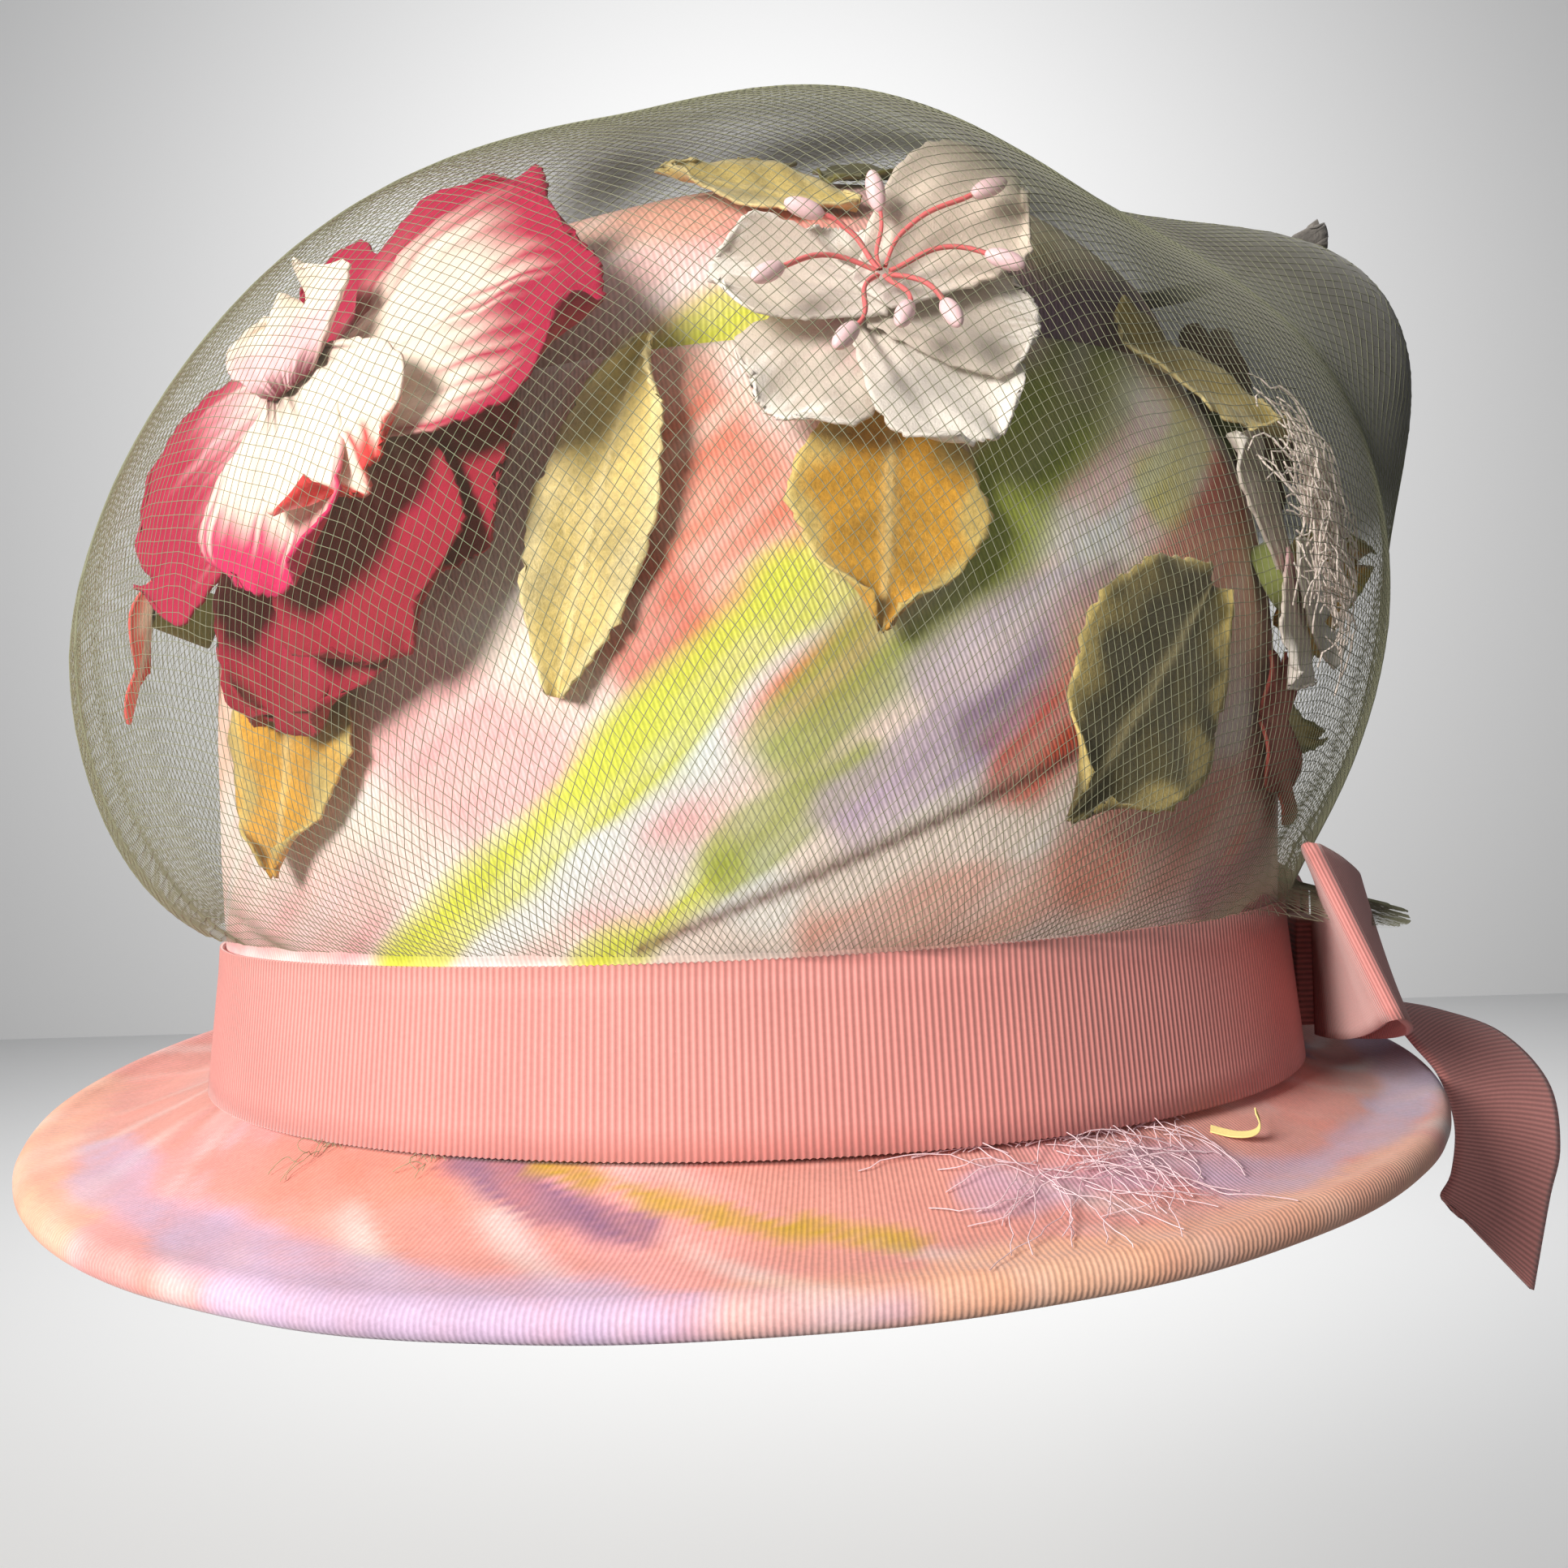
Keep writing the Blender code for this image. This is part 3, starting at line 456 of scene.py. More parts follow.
crown_finish = cloth_finish("printed_crown_cloth", ribs=(820.0, 46.0, 0.0), wander=0.5, groove_shade=0.2)
tip_finish = cloth_finish("printed_tip_cloth", ribs=(1250.0, 420.0, 0.0), source="Object", groove_shade=0.2)
brim_finish = cloth_finish("printed_brim_cloth", ribs=(930.0, 0.0, 0.0), wander=0.5, groove_shade=0.18)
ribbon_finish = ribbon_cloth_finish("ribbon_cloth", tint(230, 150, 144), (624.0, 0.0, 0.0))
loop_finish = ribbon_cloth_finish("bow_ribbon_cloth", tint(228, 150, 145), (0.0, 140.0, 0.0))
tail_finish = ribbon_cloth_finish("tail_ribbon_cloth", tint(228, 150, 145), (0.0, 88.0, 0.0))
knot_finish = ribbon_cloth_finish("knot_ribbon_cloth", tint(222, 145, 140), (0.0, 0.0, 1075.0),
                                  groove_shade=0.4, source="Object")
petal_finish = cloth_finish("rose_petal_cloth", rough=0.8, sheen=0.05, fibre=2600.0, grain=0.35,
                            bump=0.00012, glow=0.04)
organza_finish = cloth_finish("organza", rough=0.75, sheen=0.25, fibre=3000.0, grain=0.4, bump=0.00015,
                              see_through=True)
leaf_finish = cloth_finish("leaf_satin", rough=0.42, sheen=0.2, fibre=1300.0, grain=1.0, bump=0.00022)
stub_finish = cloth_finish("stub_cloth", tone=tint(120, 130, 70), rough=0.8, fibre=1600.0)
print("cloth finishes made")

# %% [markdown]
# The print is soft watercolour: bands of yellow green, coral, lilac and white run up the crown on a slant.
# It is painted stroke by stroke. A stroke is a line with two ends on the unrolled cloth, a half width and a
# colour, and its edge is soft and a little wavy. The unseen back gets the same strokes, moved round.

# %% Paint the print
CREAM = tint(250, 234, 224)
PINK = tint(246, 172, 178)
CORAL = tint(232, 130, 105)
RED_CORAL = tint(214, 84, 58)
LIME = tint(216, 222, 74)
GREEN = tint(160, 172, 62)
SKY_WHITE = tint(232, 240, 240)
LILAC = tint(196, 172, 204)
PURPLE = tint(132, 96, 132)
PEACH = tint(244, 186, 152)
SALMON = tint(222, 152, 140)
MUSTARD = tint(196, 158, 56)

SIDE_STROKES = (
    # azimuth and height of one end, azimuth and height of the other, half width, strength, colour
    (-150.0, 20.0, -128.0, 30.0, 12.0, 0.45, PINK),
    (-125.0, 66.0, -98.0, 38.0, 11.0, 0.75, PINK),
    (-160.0, 60.0, -128.0, 74.0, 12.0, 0.60, PEACH),
    (-98.0, 98.0, -85.0, 66.0, 13.0, 0.85, CORAL),
    (-101.0, 76.0, -93.0, 60.0, 8.0, 0.80, RED_CORAL),
    (-84.0, 27.0, -58.0, 33.0, 5.0, 0.55, CORAL),
    (-60.0, 34.0, -28.0, 40.0, 8.0, 0.65, CORAL),
    (-111.4, 28.6, -93.7, 54.1, 5.0, 0.80, SKY_WHITE),
    (-93.7, 54.1, -78.0, 78.0, 5.0, 0.75, SKY_WHITE),
    (-108.0, 40.0, -88.0, 32.0, 5.0, 0.70, SKY_WHITE),
    (-76.0, 84.0, -55.0, 76.0, 5.0, 0.60, SKY_WHITE),
    (-119.9, 24.1, -101.0, 48.3, 4.6, 0.95, LIME),
    (-101.0, 48.3, -85.7, 70.3, 5.4, 0.95, LIME),
    (-85.7, 70.3, -66.5, 83.3, 5.6, 0.80, LIME),
    (-101.5, 24.3, -91.4, 35.9, 3.0, 0.90, LIME),
    (-91.4, 35.9, -80.0, 49.0, 3.4, 0.85, GREEN),
    (-85.0, 54.0, -69.0, 78.0, 7.0, 0.85, GREEN),
    (-68.0, 78.0, -60.1, 92.6, 8.5, 0.90, GREEN),
    (-60.1, 92.6, -46.0, 107.8, 8.5, 0.85, GREEN),
    (-81.0, 43.2, -62.8, 58.5, 5.0, 0.80, LILAC),
    (-70.0, 52.0, -56.0, 72.0, 3.0, 0.60, PURPLE),
    (-74.0, 60.0, -60.0, 70.0, 4.0, 0.60, LILAC),
    (-66.2, 46.7, -53.4, 64.3, 6.0, 0.90, RED_CORAL),
    (-53.4, 64.3, -30.6, 86.4, 7.0, 0.85, RED_CORAL),
    (-48.0, 84.0, -36.0, 96.0, 5.0, 0.60, LIME),
    (-44.0, 27.0, -30.0, 31.0, 5.0, 0.75, PURPLE),
)
BRIM_STROKES = (
    # azimuth and way out of one end, azimuth and way out of the other, half width, strength, colour
    (-180.0, 27.0, -140.0, 26.0, 7.0, 0.70, PEACH),
    (-140.0, 8.0, -108.0, 4.0, 5.0, 0.45, CORAL),
    # These lilac strokes along the rim are partly lilac print and partly a painted highlight where the roll
    # catches light.
    (-158.0, 16.0, -128.0, 19.0, 4.5, 0.75, LILAC),
    (-128.0, 19.0, -98.0, 27.0, 5.5, 0.85, LILAC),
    (-118.0, 27.0, -78.0, 30.0, 4.5, 0.80, LILAC),
    (-114.0, 1.0, -96.0, 11.0, 2.6, 0.80, PURPLE),
    (-105.6, 0.0, -91.2, 9.2, 1.8, 0.95, MUSTARD),
    (-91.2, 9.2, -79.0, 15.6, 1.9, 0.95, MUSTARD),
    (-88.0, 26.0, -66.0, 25.0, 4.0, 0.50, PEACH),
    (-72.0, 8.0, -52.0, 11.0, 4.0, 0.55, LILAC),
    (-60.0, 20.0, -20.0, 18.0, 8.0, 0.35, CORAL),
)
COPIES = (0.0, 104.0, 208.0)


def painted(azimuth, height, strokes, millimetres_a_degree, ground, seed):
    """The print colour at each corner of a piece, from its strokes."""
    spots = np.stack([azimuth * millimetres_a_degree, height], axis=1)
    around_all = 360.0 * millimetres_a_degree
    wave = 1.3 * ripple(spots, 30.0, seed) + 0.25 * ripple(spots, 11.0, seed + 1)
    slant = np.stack([spots @ np.array([0.83, 0.56]) * 0.10, spots @ np.array([-0.56, 0.83])], axis=1)
    streak = ripple(slant, 4.5, seed + 3)
    dye_and_shade = np.tile(ground, (len(spots), 1))
    dye_and_shade = blend_colour(dye_and_shade, PINK, 0.12 + 0.50 * ripple(spots, 60.0, seed + 2) + 0.20 * streak)
    dye_and_shade = blend_colour(dye_and_shade, SKY_WHITE, 0.45 * ripple(slant, 7.0, seed + 4))
    wave = wave + 0.9 * streak
    for copy in COPIES:
        for azimuth_a, height_a, azimuth_b, height_b, half, strength, colour in strokes:
            low = (azimuth_a + copy) * millimetres_a_degree
            run = np.array([(azimuth_b - azimuth_a) * millimetres_a_degree, height_b - height_a])
            away_x = (spots[:, 0] - low + 0.5 * around_all) % around_all - 0.5 * around_all
            away = np.stack([away_x, height - height_a], axis=1)
            part = np.clip(away @ run / (run @ run), 0.0, 1.0)
            distance = np.linalg.norm(away - part[:, None] * run, axis=1) + wave
            inside = 1.0 - smooth_step((distance - 0.62 * half) / (0.55 * half + 0.8))
            dye_and_shade = blend_colour(dye_and_shade, colour, inside * strength * (0.92 + 0.22 * streak))
    return dye_and_shade


print("strokes:", len(SIDE_STROKES), "on the side,", len(BRIM_STROKES), "on the brim")

# %% [markdown]
# The side of the crown is a tube of cloth, open below. A slanting pleat crosses its front.
# A grid closed round the head gives the tube. The pleat is a small step in it, which fades above its line,
# and a dark line of painted shade marks the crease.

# %% Crown side
SIDE_WALL = 1.5
PLEAT_DEPTH = 1.2
PLEAT_START = -100.0
PLEAT_SPAN = 44.0
PLEAT_FOOT = 0.24
PLEAT_CLIMB = 0.24
side_line = soft_table(np.array(SIDE_SHARES), np.array(SIDE_RADII), 400, 0.035)


def pleat(azimuth, share):
    along = (front_way(azimuth) - PLEAT_START) / PLEAT_SPAN
    above = share - (PLEAT_FOOT + PLEAT_CLIMB * along)
    fade = np.clip(np.minimum(along / 0.3, (1.0 - along) / 0.3), 0.0, 1.0)
    return PLEAT_DEPTH * fade * smooth_step(above / 0.014) * np.clip(1.0 - above / 0.30, 0.0, 1.0)


def side_shape(across, along):
    azimuth = 90.0 + 360.0 * across
    radius = np.interp(along, *side_line)
    fold = pleat(azimuth, along)
    slack = 0.35 * ripple(np.stack([azimuth * 1.66, along * SIDE_HEIGHT], axis=1), 34.0, 4)
    fold = fold + slack * np.sin(np.pi * along)
    points = around(azimuth, HEAD_HALF_WIDTH * radius + fold, HEAD_HALF_DEPTH * radius + fold,
                    SIDE_HEIGHT * along)
    points[at_seam(across), 0] = 0.0
    dye_and_shade = painted(azimuth, SIDE_HEIGHT * along, SIDE_STROKES, 1.66, CREAM, 11)
    pleat_line = PLEAT_FOOT + PLEAT_CLIMB * (front_way(azimuth) - PLEAT_START) / PLEAT_SPAN
    line = np.exp(-((along - pleat_line) / 0.007) ** 2)
    crease = line * (pleat(azimuth, along + 0.02) > 0.1)
    # Painted shade: a dark line along the crease, where the pleat's step throws shade.
    dye_and_shade = blend_colour(dye_and_shade, tint(110, 50, 44), 0.8 * crease)
    return leaned(points), dye_and_shade


side = cloth("crown_side_cloth", 400, 92, side_shape, crown_finish, wall=SIDE_WALL, close=True)
keep(side, "crown_side", "printed_cloth")
print("crown side:", len(side.data.polygons), "faces")

# %% [markdown]
# The tip is a round of the same cloth, domed and tucked inside the folded edge of the side.

# %% Crown tip
TIP_WALL = 1.3
TUCKED = SIDE_WALL + GAP
tip_rises = np.array([-9.0, 4.0, 5.2, 15.6, 26.5, 34.3, 38.2, 39.0])
tip_radii = np.array([0.834, 0.834, 0.834, 0.770, 0.650, 0.450, 0.200, 0.0])
tip_steps = np.concatenate([[0.0], np.cumsum(np.hypot(
    np.diff(tip_rises), np.diff(tip_radii) * HEAD_HALF_WIDTH))])
tip_rise_line = soft_table(tip_steps, tip_rises, 400, 6.0)
tip_radius_line = soft_table(tip_steps, tip_radii, 400, 6.0)
TIP_STROKES = (
    (-100.0, -2.0, -84.0, 6.0, 4.0, 0.90, LIME),
    (-100.0, 30.0, -70.0, 12.0, 9.0, 0.60, CORAL),
    (-125.0, 20.0, -95.0, 26.0, 9.0, 0.50, PEACH),
    (-62.0, 0.0, -34.0, 8.0, 7.0, 0.90, PURPLE),
    (-50.0, 18.0, -20.0, 26.0, 8.0, 0.60, GREEN),
)


def tip_shape(across, along):
    azimuth = 90.0 + 360.0 * across
    step = along * tip_steps[-1]
    rise = np.interp(step, *tip_rise_line)
    radius = np.interp(step, *tip_radius_line)
    radius = np.where(along > 0.999, 0.0, np.maximum(radius, 0.0))
    slim = TUCKED * (1.0 - smooth_step((rise - 3.0) / 8.0))
    wide_x = HEAD_HALF_WIDTH * radius - slim
    wide_y = HEAD_HALF_DEPTH * radius - slim
    points = around(azimuth, wide_x, wide_y, SIDE_HEIGHT + rise)
    points[at_seam(across), 0] = 0.0
    dye_and_shade = painted(azimuth, rise, TIP_STROKES, 1.3, blend_colour(CREAM[None, :], PINK, np.array([0.5]))[0], 23)
    return leaned(points), dye_and_shade


tip = cloth("crown_tip_cloth", 240, 40, tip_shape, tip_finish, wall=TIP_WALL, close=True)
keep(tip, "crown_tip", "printed_cloth")
print("crown tip:", len(tip.data.polygons), "faces")

# %% [markdown]
# The brim slopes down, turns up towards the back, and ends in a padded roll. Its section is a closed line:
# the top, round the roll, and back below. The same section is carried round the head.

# %% Brim
BRIM_WIDTH = 28.0
BRIM_DROP = 11.2
BRIM_WALL = 1.8
ROLL_RADIUS = 2.6
BRIM_LEFT_EXTRA = 3.8
BRIM_BACK_RISE = 16.0
BRIM_FRONT_DIP = 3.0
BRIM_OUT = (0.00, 0.26, 0.56, 0.84)
BRIM_DOWN = (0.00, 0.36, 0.84, 1.02)
BRIM_TOP_DOWN = (0.00, 0.31, 0.58, 0.66)
section = [(out, -GAP - BRIM_DROP * down) for out, down in zip(BRIM_OUT, BRIM_TOP_DOWN)]
for turn in (85.0, 57.0, 30.0, 0.0, -30.0, -60.0, -90.0):
    angle = math.radians(turn)
    section.append((1.0 - ROLL_RADIUS / BRIM_WIDTH + ROLL_RADIUS * math.cos(angle) / BRIM_WIDTH,
                    -BRIM_DROP + ROLL_RADIUS * 0.4 + ROLL_RADIUS * math.sin(angle)))
section += [(out, -GAP - BRIM_DROP * down - BRIM_WALL) for out, down in zip(BRIM_OUT, BRIM_DOWN)][::-1]
section = np.array((section + section[:1])[::-1])
section_steps = np.concatenate([[0.0], np.cumsum(np.hypot(
    np.diff(section[:, 0]) * BRIM_WIDTH, np.diff(section[:, 1])))])


def brim_level(azimuth, out):
    back = 0.5 + 0.5 * np.sin(np.radians(azimuth))
    front = np.maximum(0.0, np.cos(np.radians(azimuth + 125.0)))
    return (BRIM_BACK_RISE * back ** 1.5 - BRIM_FRONT_DIP * front ** 2) * np.maximum(out, 0.0) ** 1.5


def brim_spot(azimuth, out, level):
    points = around(azimuth, HEAD_HALF_WIDTH - SIDE_WALL + BRIM_WIDTH * out,
                    HEAD_HALF_DEPTH - SIDE_WALL + BRIM_WIDTH * out, level + brim_level(azimuth, out))
    points[:, 0] -= BRIM_LEFT_EXTRA * out
    return points


def brim_shape(across, along):
    azimuth = 90.0 + 360.0 * across
    out = np.interp(along * section_steps[-1], section_steps, section[:, 0])
    level = np.interp(along * section_steps[-1], section_steps, section[:, 1])
    quilt = 0.18 * ripple(np.stack([azimuth * 1.9, out * BRIM_WIDTH], axis=1), 26.0, 6)
    points = brim_spot(azimuth, out, level + quilt * smooth_step(out * 3.0))
    points[at_seam(across), 0] = -BRIM_LEFT_EXTRA * out[at_seam(across)]
    return points, painted(azimuth, out * BRIM_WIDTH, BRIM_STROKES, 1.9, SALMON, 31)


brim = cloth("brim_cloth", 320, 56, brim_shape, brim_finish, close=True)
keep(brim, "brim", "printed_cloth")
print("brim:", len(brim.data.polygons), "faces")

# %% [markdown]
# The ribbon goes round the foot of the crown. It is ribbed across, and its two edges have tiny teeth,
# one for each rib. Two columns of the grid for each rib give the teeth, one column out and one in.

# %% Ribbon band
RIBBON_WIDTH = 24.8
RIBBON_THICK = 0.8
RIB_COUNT = 624


def band_shape(across, along):
    azimuth = 90.0 + 360.0 * across
    tooth = np.where(np.round(across * 2 * RIB_COUNT) % 2 == 0, 0.22, -0.05)
    level = GAP + (RIBBON_WIDTH - GAP) * along
    edge = np.where(along < 0.01, -tooth, np.where(along > 0.99, tooth, 0.0))
    radius = crown_share(level)
    stand = GAP + RIBBON_THICK + 0.15 * np.sin(np.radians(azimuth) * 9.0) * along
    points = around(azimuth, HEAD_HALF_WIDTH * radius + stand, HEAD_HALF_DEPTH * radius + stand, level)
    points[at_seam(across), 0] = 0.0
    points = leaned(points)
    points[:, 2] += edge
    return points, None


band = cloth("ribbon_band_cloth", 2 * RIB_COUNT, 6, band_shape, ribbon_finish,
             wall=RIBBON_THICK, close=True)
keep(band, "ribbon_band", "ribbon")
print("ribbon band:", RIB_COUNT, "ribs")

# %% [markdown]
# The bow sits at the right: a knot, two flat loops along the band and one end that hangs over the brim.
# Loops and end are the same ribbon, laid along a route and turned as it goes.

# %% Bow
BOW_AZIMUTH = -6.0
KNOT_WIDTH = 13.0
KNOT_DEPTH = 5.0
BOW_RIBBON_THICK = 1.0
LOOP_LENGTH = 57.0
LOOP_START = 0.6
LOOP_HUG = 0.26
LOOP_PUFF = 7.0
LOOP_LEAN = 11.4
LOOP_LIFT = 1.6
LOOP_RISE = 10.5
TAIL_SINK = 4.0
bow_turn = math.radians(BOW_AZIMUTH)
bow_radius = float(crown_share(0.5 * RIBBON_WIDTH))
bow_stand = 2.0 * GAP + RIBBON_THICK + 0.72
bow_middle = around(np.array([BOW_AZIMUTH]), HEAD_HALF_WIDTH * bow_radius + bow_stand,
                    HEAD_HALF_DEPTH * bow_radius + bow_stand, 0.5 * RIBBON_WIDTH)[0]
bow_out = np.array([math.cos(bow_turn), math.sin(bow_turn), 0.0])
bow_along = np.array([-math.sin(bow_turn), math.cos(bow_turn), 0.0])
UP = np.array([0.0, 0.0, 1.0])


def smooth_route(rows, where):
    """Points on a smooth line through the rows, where from 0 to 1."""
    rows = np.asarray(rows, float)
    steps = np.concatenate([[0.0], np.cumsum(np.linalg.norm(np.diff(rows[:, :3], axis=0), axis=1))])
    place = np.interp(where * steps[-1], steps, np.arange(len(rows)))
    low = np.clip(place.astype(int), 0, len(rows) - 2)
    part = (place - low)[:, None]
    last = len(rows) - 1
    before, start = rows[np.clip(low - 1, 0, last)], rows[low]
    end, after = rows[low + 1], rows[np.clip(low + 2, 0, last)]
    bend = (2 * before - 5 * start + 4 * end - after) * part ** 2
    turn = (3 * start - before - 3 * end + after) * part ** 3
    return 0.5 * (2 * start + (end - before) * part + bend + turn)


LOOP_ROWS = (
    # way along the loop, way out from the band
    (0.00, 0.34), (0.20, 0.30), (0.45, 0.14), (0.72, 0.00), (0.92, 0.00), (1.00, 0.12),
    (0.97, 0.28), (0.80, 0.62), (0.55, 0.96), (0.30, 1.00), (0.12, 0.72), (0.00, 0.56),
)


def bow_loop(name, node, way_along):
    route = []
    for way, puff in LOOP_ROWS:
        distance = 0.5 * KNOT_WIDTH + GAP + LOOP_LENGTH * way
        curve = distance * distance / (2.0 * HEAD_HALF_DEPTH)
        route.append((distance, LOOP_START - LOOP_HUG * curve * way + LOOP_PUFF * puff, way))

    def shape(across, along):
        spots = smooth_route(route, along)
        way = np.clip(spots[:, 2], 0.0, 1.0)
        level = (across - 0.5) * RIBBON_WIDTH
        depth = spots[:, 1] - LOOP_LEAN * way * level / RIBBON_WIDTH
        rise = level + LOOP_LIFT + LOOP_RISE * way ** 1.5
        points = bow_middle + bow_along * (way_along * spots[:, :1])
        return points + bow_out * depth[:, None] + UP * rise[:, None], None

    loop = cloth(name, 14, 72, shape, loop_finish, wall=BOW_RIBBON_THICK, side=0.0)
    keep(loop, node, "ribbon")


bow_loop("bow_loop_front_ribbon", "bow_loop_front", -1.0)
bow_loop("bow_loop_back_ribbon", "bow_loop_back", 1.0)

TAIL_REACH = 34.5
TAIL_DROP = 52.0
TAIL_ROWS = (
    # reach, drop, back, heading, tip down, width
    (0.03, 0.00, 0.00, 90.0, 0.0, 0.44),
    (0.14, 0.02, 0.00, 90.0, 0.0, 0.50),
    (0.32, 0.07, -0.02, 78.0, 0.0, 0.94),
    (0.50, 0.13, -0.04, 66.0, 6.0, 1.00),
    (0.70, 0.22, -0.08, 50.0, 10.0, 1.00),
    (0.83, 0.38, -0.12, 36.0, 10.0, 1.00),
    (0.83, 0.56, -0.15, 30.0, 4.0, 1.00),
    (0.76, 0.68, -0.19, 28.0, -8.0, 0.96),
)
tail_start = bow_middle + bow_out * (KNOT_DEPTH + GAP + 0.4) - UP * TAIL_SINK
left_edge, right_edge = [], []
for reach, drop, back, face, tip_down, width in TAIL_ROWS:
    place = tail_start + bow_out * (TAIL_REACH * reach) - UP * (TAIL_DROP * drop)
    place = place + bow_along * (TAIL_REACH * back)
    turn, tipped = math.radians(face), math.radians(tip_down)
    across_way = bow_out * (math.cos(turn) * math.cos(tipped)) + UP * math.sin(tipped)
    across_way = across_way + bow_along * (math.sin(turn) * math.cos(tipped))
    left_edge.append(place - across_way * RIBBON_WIDTH * width * 0.5)
    right_edge.append(place + across_way * RIBBON_WIDTH * width * 0.5)
point = tail_start + bow_out * (TAIL_REACH * 0.95) - UP * TAIL_DROP - bow_along * (TAIL_REACH * 0.10)
near_end = left_edge[-1]
left_edge.append(near_end + (point - near_end) * 0.12)
right_edge.append(point)


def tail_shape(across, along):
    left, right = smooth_route(left_edge, along), smooth_route(right_edge, along)
    points = left + (right - left) * across[:, None]
    side = right - left
    bulge = np.cross(side, bow_along[None, :])
    bulge = bulge / np.maximum(np.linalg.norm(bulge, axis=1), 0.001)[:, None]
    return points + bulge * (0.8 * np.sin(np.pi * across) * np.sin(np.pi * along))[:, None], None


tail = cloth("bow_tail_ribbon", 16, 60, tail_shape, tail_finish, wall=BOW_RIBBON_THICK, side=0.0)
keep(tail, "bow_tail", "ribbon")

bpy.ops.object.select_all(action="DESELECT")
bpy.ops.mesh.primitive_cube_add(size=1.0, location=(0.0, 0.0, 0.0))
knot = bpy.context.object
knot.name = "bow_knot_ribbon"
bpy.ops.object.mode_set(mode="EDIT")
bpy.ops.mesh.select_all(action="SELECT")
bpy.ops.mesh.subdivide(number_cuts=5)
bpy.ops.object.mode_set(mode="OBJECT")
for corner in knot.data.vertices:
    pinch = 0.84 + 0.16 * abs(2.0 * corner.co.z) ** 1.5
    crown_out = 1.0 - 0.25 * (2.0 * corner.co.y) ** 2
    crease = 0.05 * math.cos(corner.co.y * 26.0)
    x = (corner.co.x + 0.5) * KNOT_DEPTH * (crown_out + crease)
    corner.co = (x * MM, corner.co.y * KNOT_WIDTH * pinch * MM, corner.co.z * (RIBBON_WIDTH - 6.0) * MM)
knot.location = bow_middle * MM
knot.rotation_euler = (0.0, 0.0, bow_turn)
bpy.ops.object.transform_apply(location=True, rotation=True, scale=True)
apply_modifier(knot, "SUBSURF", levels=2)
bpy.ops.object.shade_smooth()
knot.data.materials.append(knot_finish)
keep(knot, "bow_knot", "ribbon")
print("bow: knot, two loops and one end")

# %% [markdown]
# A petal is a small sheet of cloth cut round and bowled, its rim ruffled. It lies on the crown, turned round
# the middle of its flower, and each layer lies a little further out than the one below it.
# Every petal gets a heart colour near the middle, a body colour and a rim colour that is brushed in.
# The rose's dark wine heart is partly its own colour and partly painted shade where the petals meet.

# %% Petals
PETAL_WALL = 0.5
LAYER_PITCH = 1.25
GATHER_HEIGHT = 0.45
CREASE_HEIGHT = 0.40
CUP_SHARE = 0.07
ROUND_ALONG = (0.00, 0.24, 0.50, 0.74, 0.91, 1.00)
ROUND_HALF = (0.34, 0.66, 0.95, 1.00, 0.76, 0.42)
LEAF_ALONG = (0.00, 0.22, 0.50, 0.80, 1.00)
LEAF_HALF = (0.16, 0.74, 1.00, 0.62, 0.10)
round_line = soft_table(np.array(ROUND_ALONG), np.array(ROUND_HALF), 300, 0.10)
leaf_line = soft_table(np.array(LEAF_ALONG), np.array(LEAF_HALF), 300, 0.10)

IVORY = tint(240, 224, 208)
BLUSH = tint(244, 190, 196)
HOT_PINK = tint(204, 24, 92)
MAGENTA = tint(168, 0, 62)
CRIMSON = tint(146, 0, 42)
# Dark wine heart of the rose: partly its own colour, partly painted shade deep between the petals.
WINE_AND_SHADE = tint(96, 16, 38)
RED = tint(226, 60, 62)
TAUPE = tint(222, 210, 198)
PEARL = tint(243, 236, 228)

ROSE_PETALS = (
    # turn, length, width, layer, heart, body, rim, rim starts at, ruffle
    (98.0, 0.92, 0.80, 0.0, WINE_AND_SHADE, IVORY, MAGENTA, 0.42, 1.6),
    (238.0, 1.10, 0.95, 1.2, MAGENTA, MAGENTA, CRIMSON, 0.50, 2.2),
    (262.0, 1.06, 0.90, 2.4, HOT_PINK, MAGENTA, CRIMSON, 0.55, 2.2),
    (328.0, 0.82, 0.72, 3.4, BLUSH, HOT_PINK, CRIMSON, 0.50, 1.8),
    (142.0, 0.98, 0.86, 4.4, IVORY, MAGENTA, MAGENTA, 0.30, 2.0),
    (298.0, 0.94, 0.74, 5.4, IVORY, MAGENTA, CRIMSON, 0.35, 2.0),
    (56.0, 0.95, 0.62, 6.6, WINE_AND_SHADE, IVORY, MAGENTA, 0.30, 2.2),
    (22.0, 0.98, 0.80, 8.6, WINE_AND_SHADE, IVORY, MAGENTA, 0.44, 2.4),
    (208.0, 0.94, 0.86, 9.6, IVORY, BLUSH, MAGENTA, 0.16, 2.4),
    (276.0, 0.70, 0.56, 10.6, IVORY, IVORY, HOT_PINK, 0.62, 2.2),
    (318.0, 0.58, 0.52, 11.6, WINE_AND_SHADE, IVORY, RED, 0.84, 2.0),
    (118.0, 0.44, 0.44, 12.6, WINE_AND_SHADE, BLUSH, IVORY, 0.50, 2.2),
)
BLOSSOM_PETALS = (
    (95.0, 0.74, 0.80, 0.0, TAUPE, TAUPE, PEARL, 0.70, 0.8),
    (222.0, 0.96, 0.86, 1.0, BLUSH, TAUPE, PEARL, 0.75, 0.9),
    (302.0, 1.06, 0.92, 2.0, TAUPE, PEARL, PEARL, 0.70, 0.9),
    (356.0, 0.96, 0.92, 3.0, TAUPE, TAUPE, PEARL, 0.75, 0.9),
    (168.0, 0.94, 0.62, 4.0, PEARL, TAUPE, PEARL, 0.80, 1.0),
    (42.0, 1.12, 0.78, 5.0, PEARL, IVORY, IVORY, 0.70, 1.0),
)
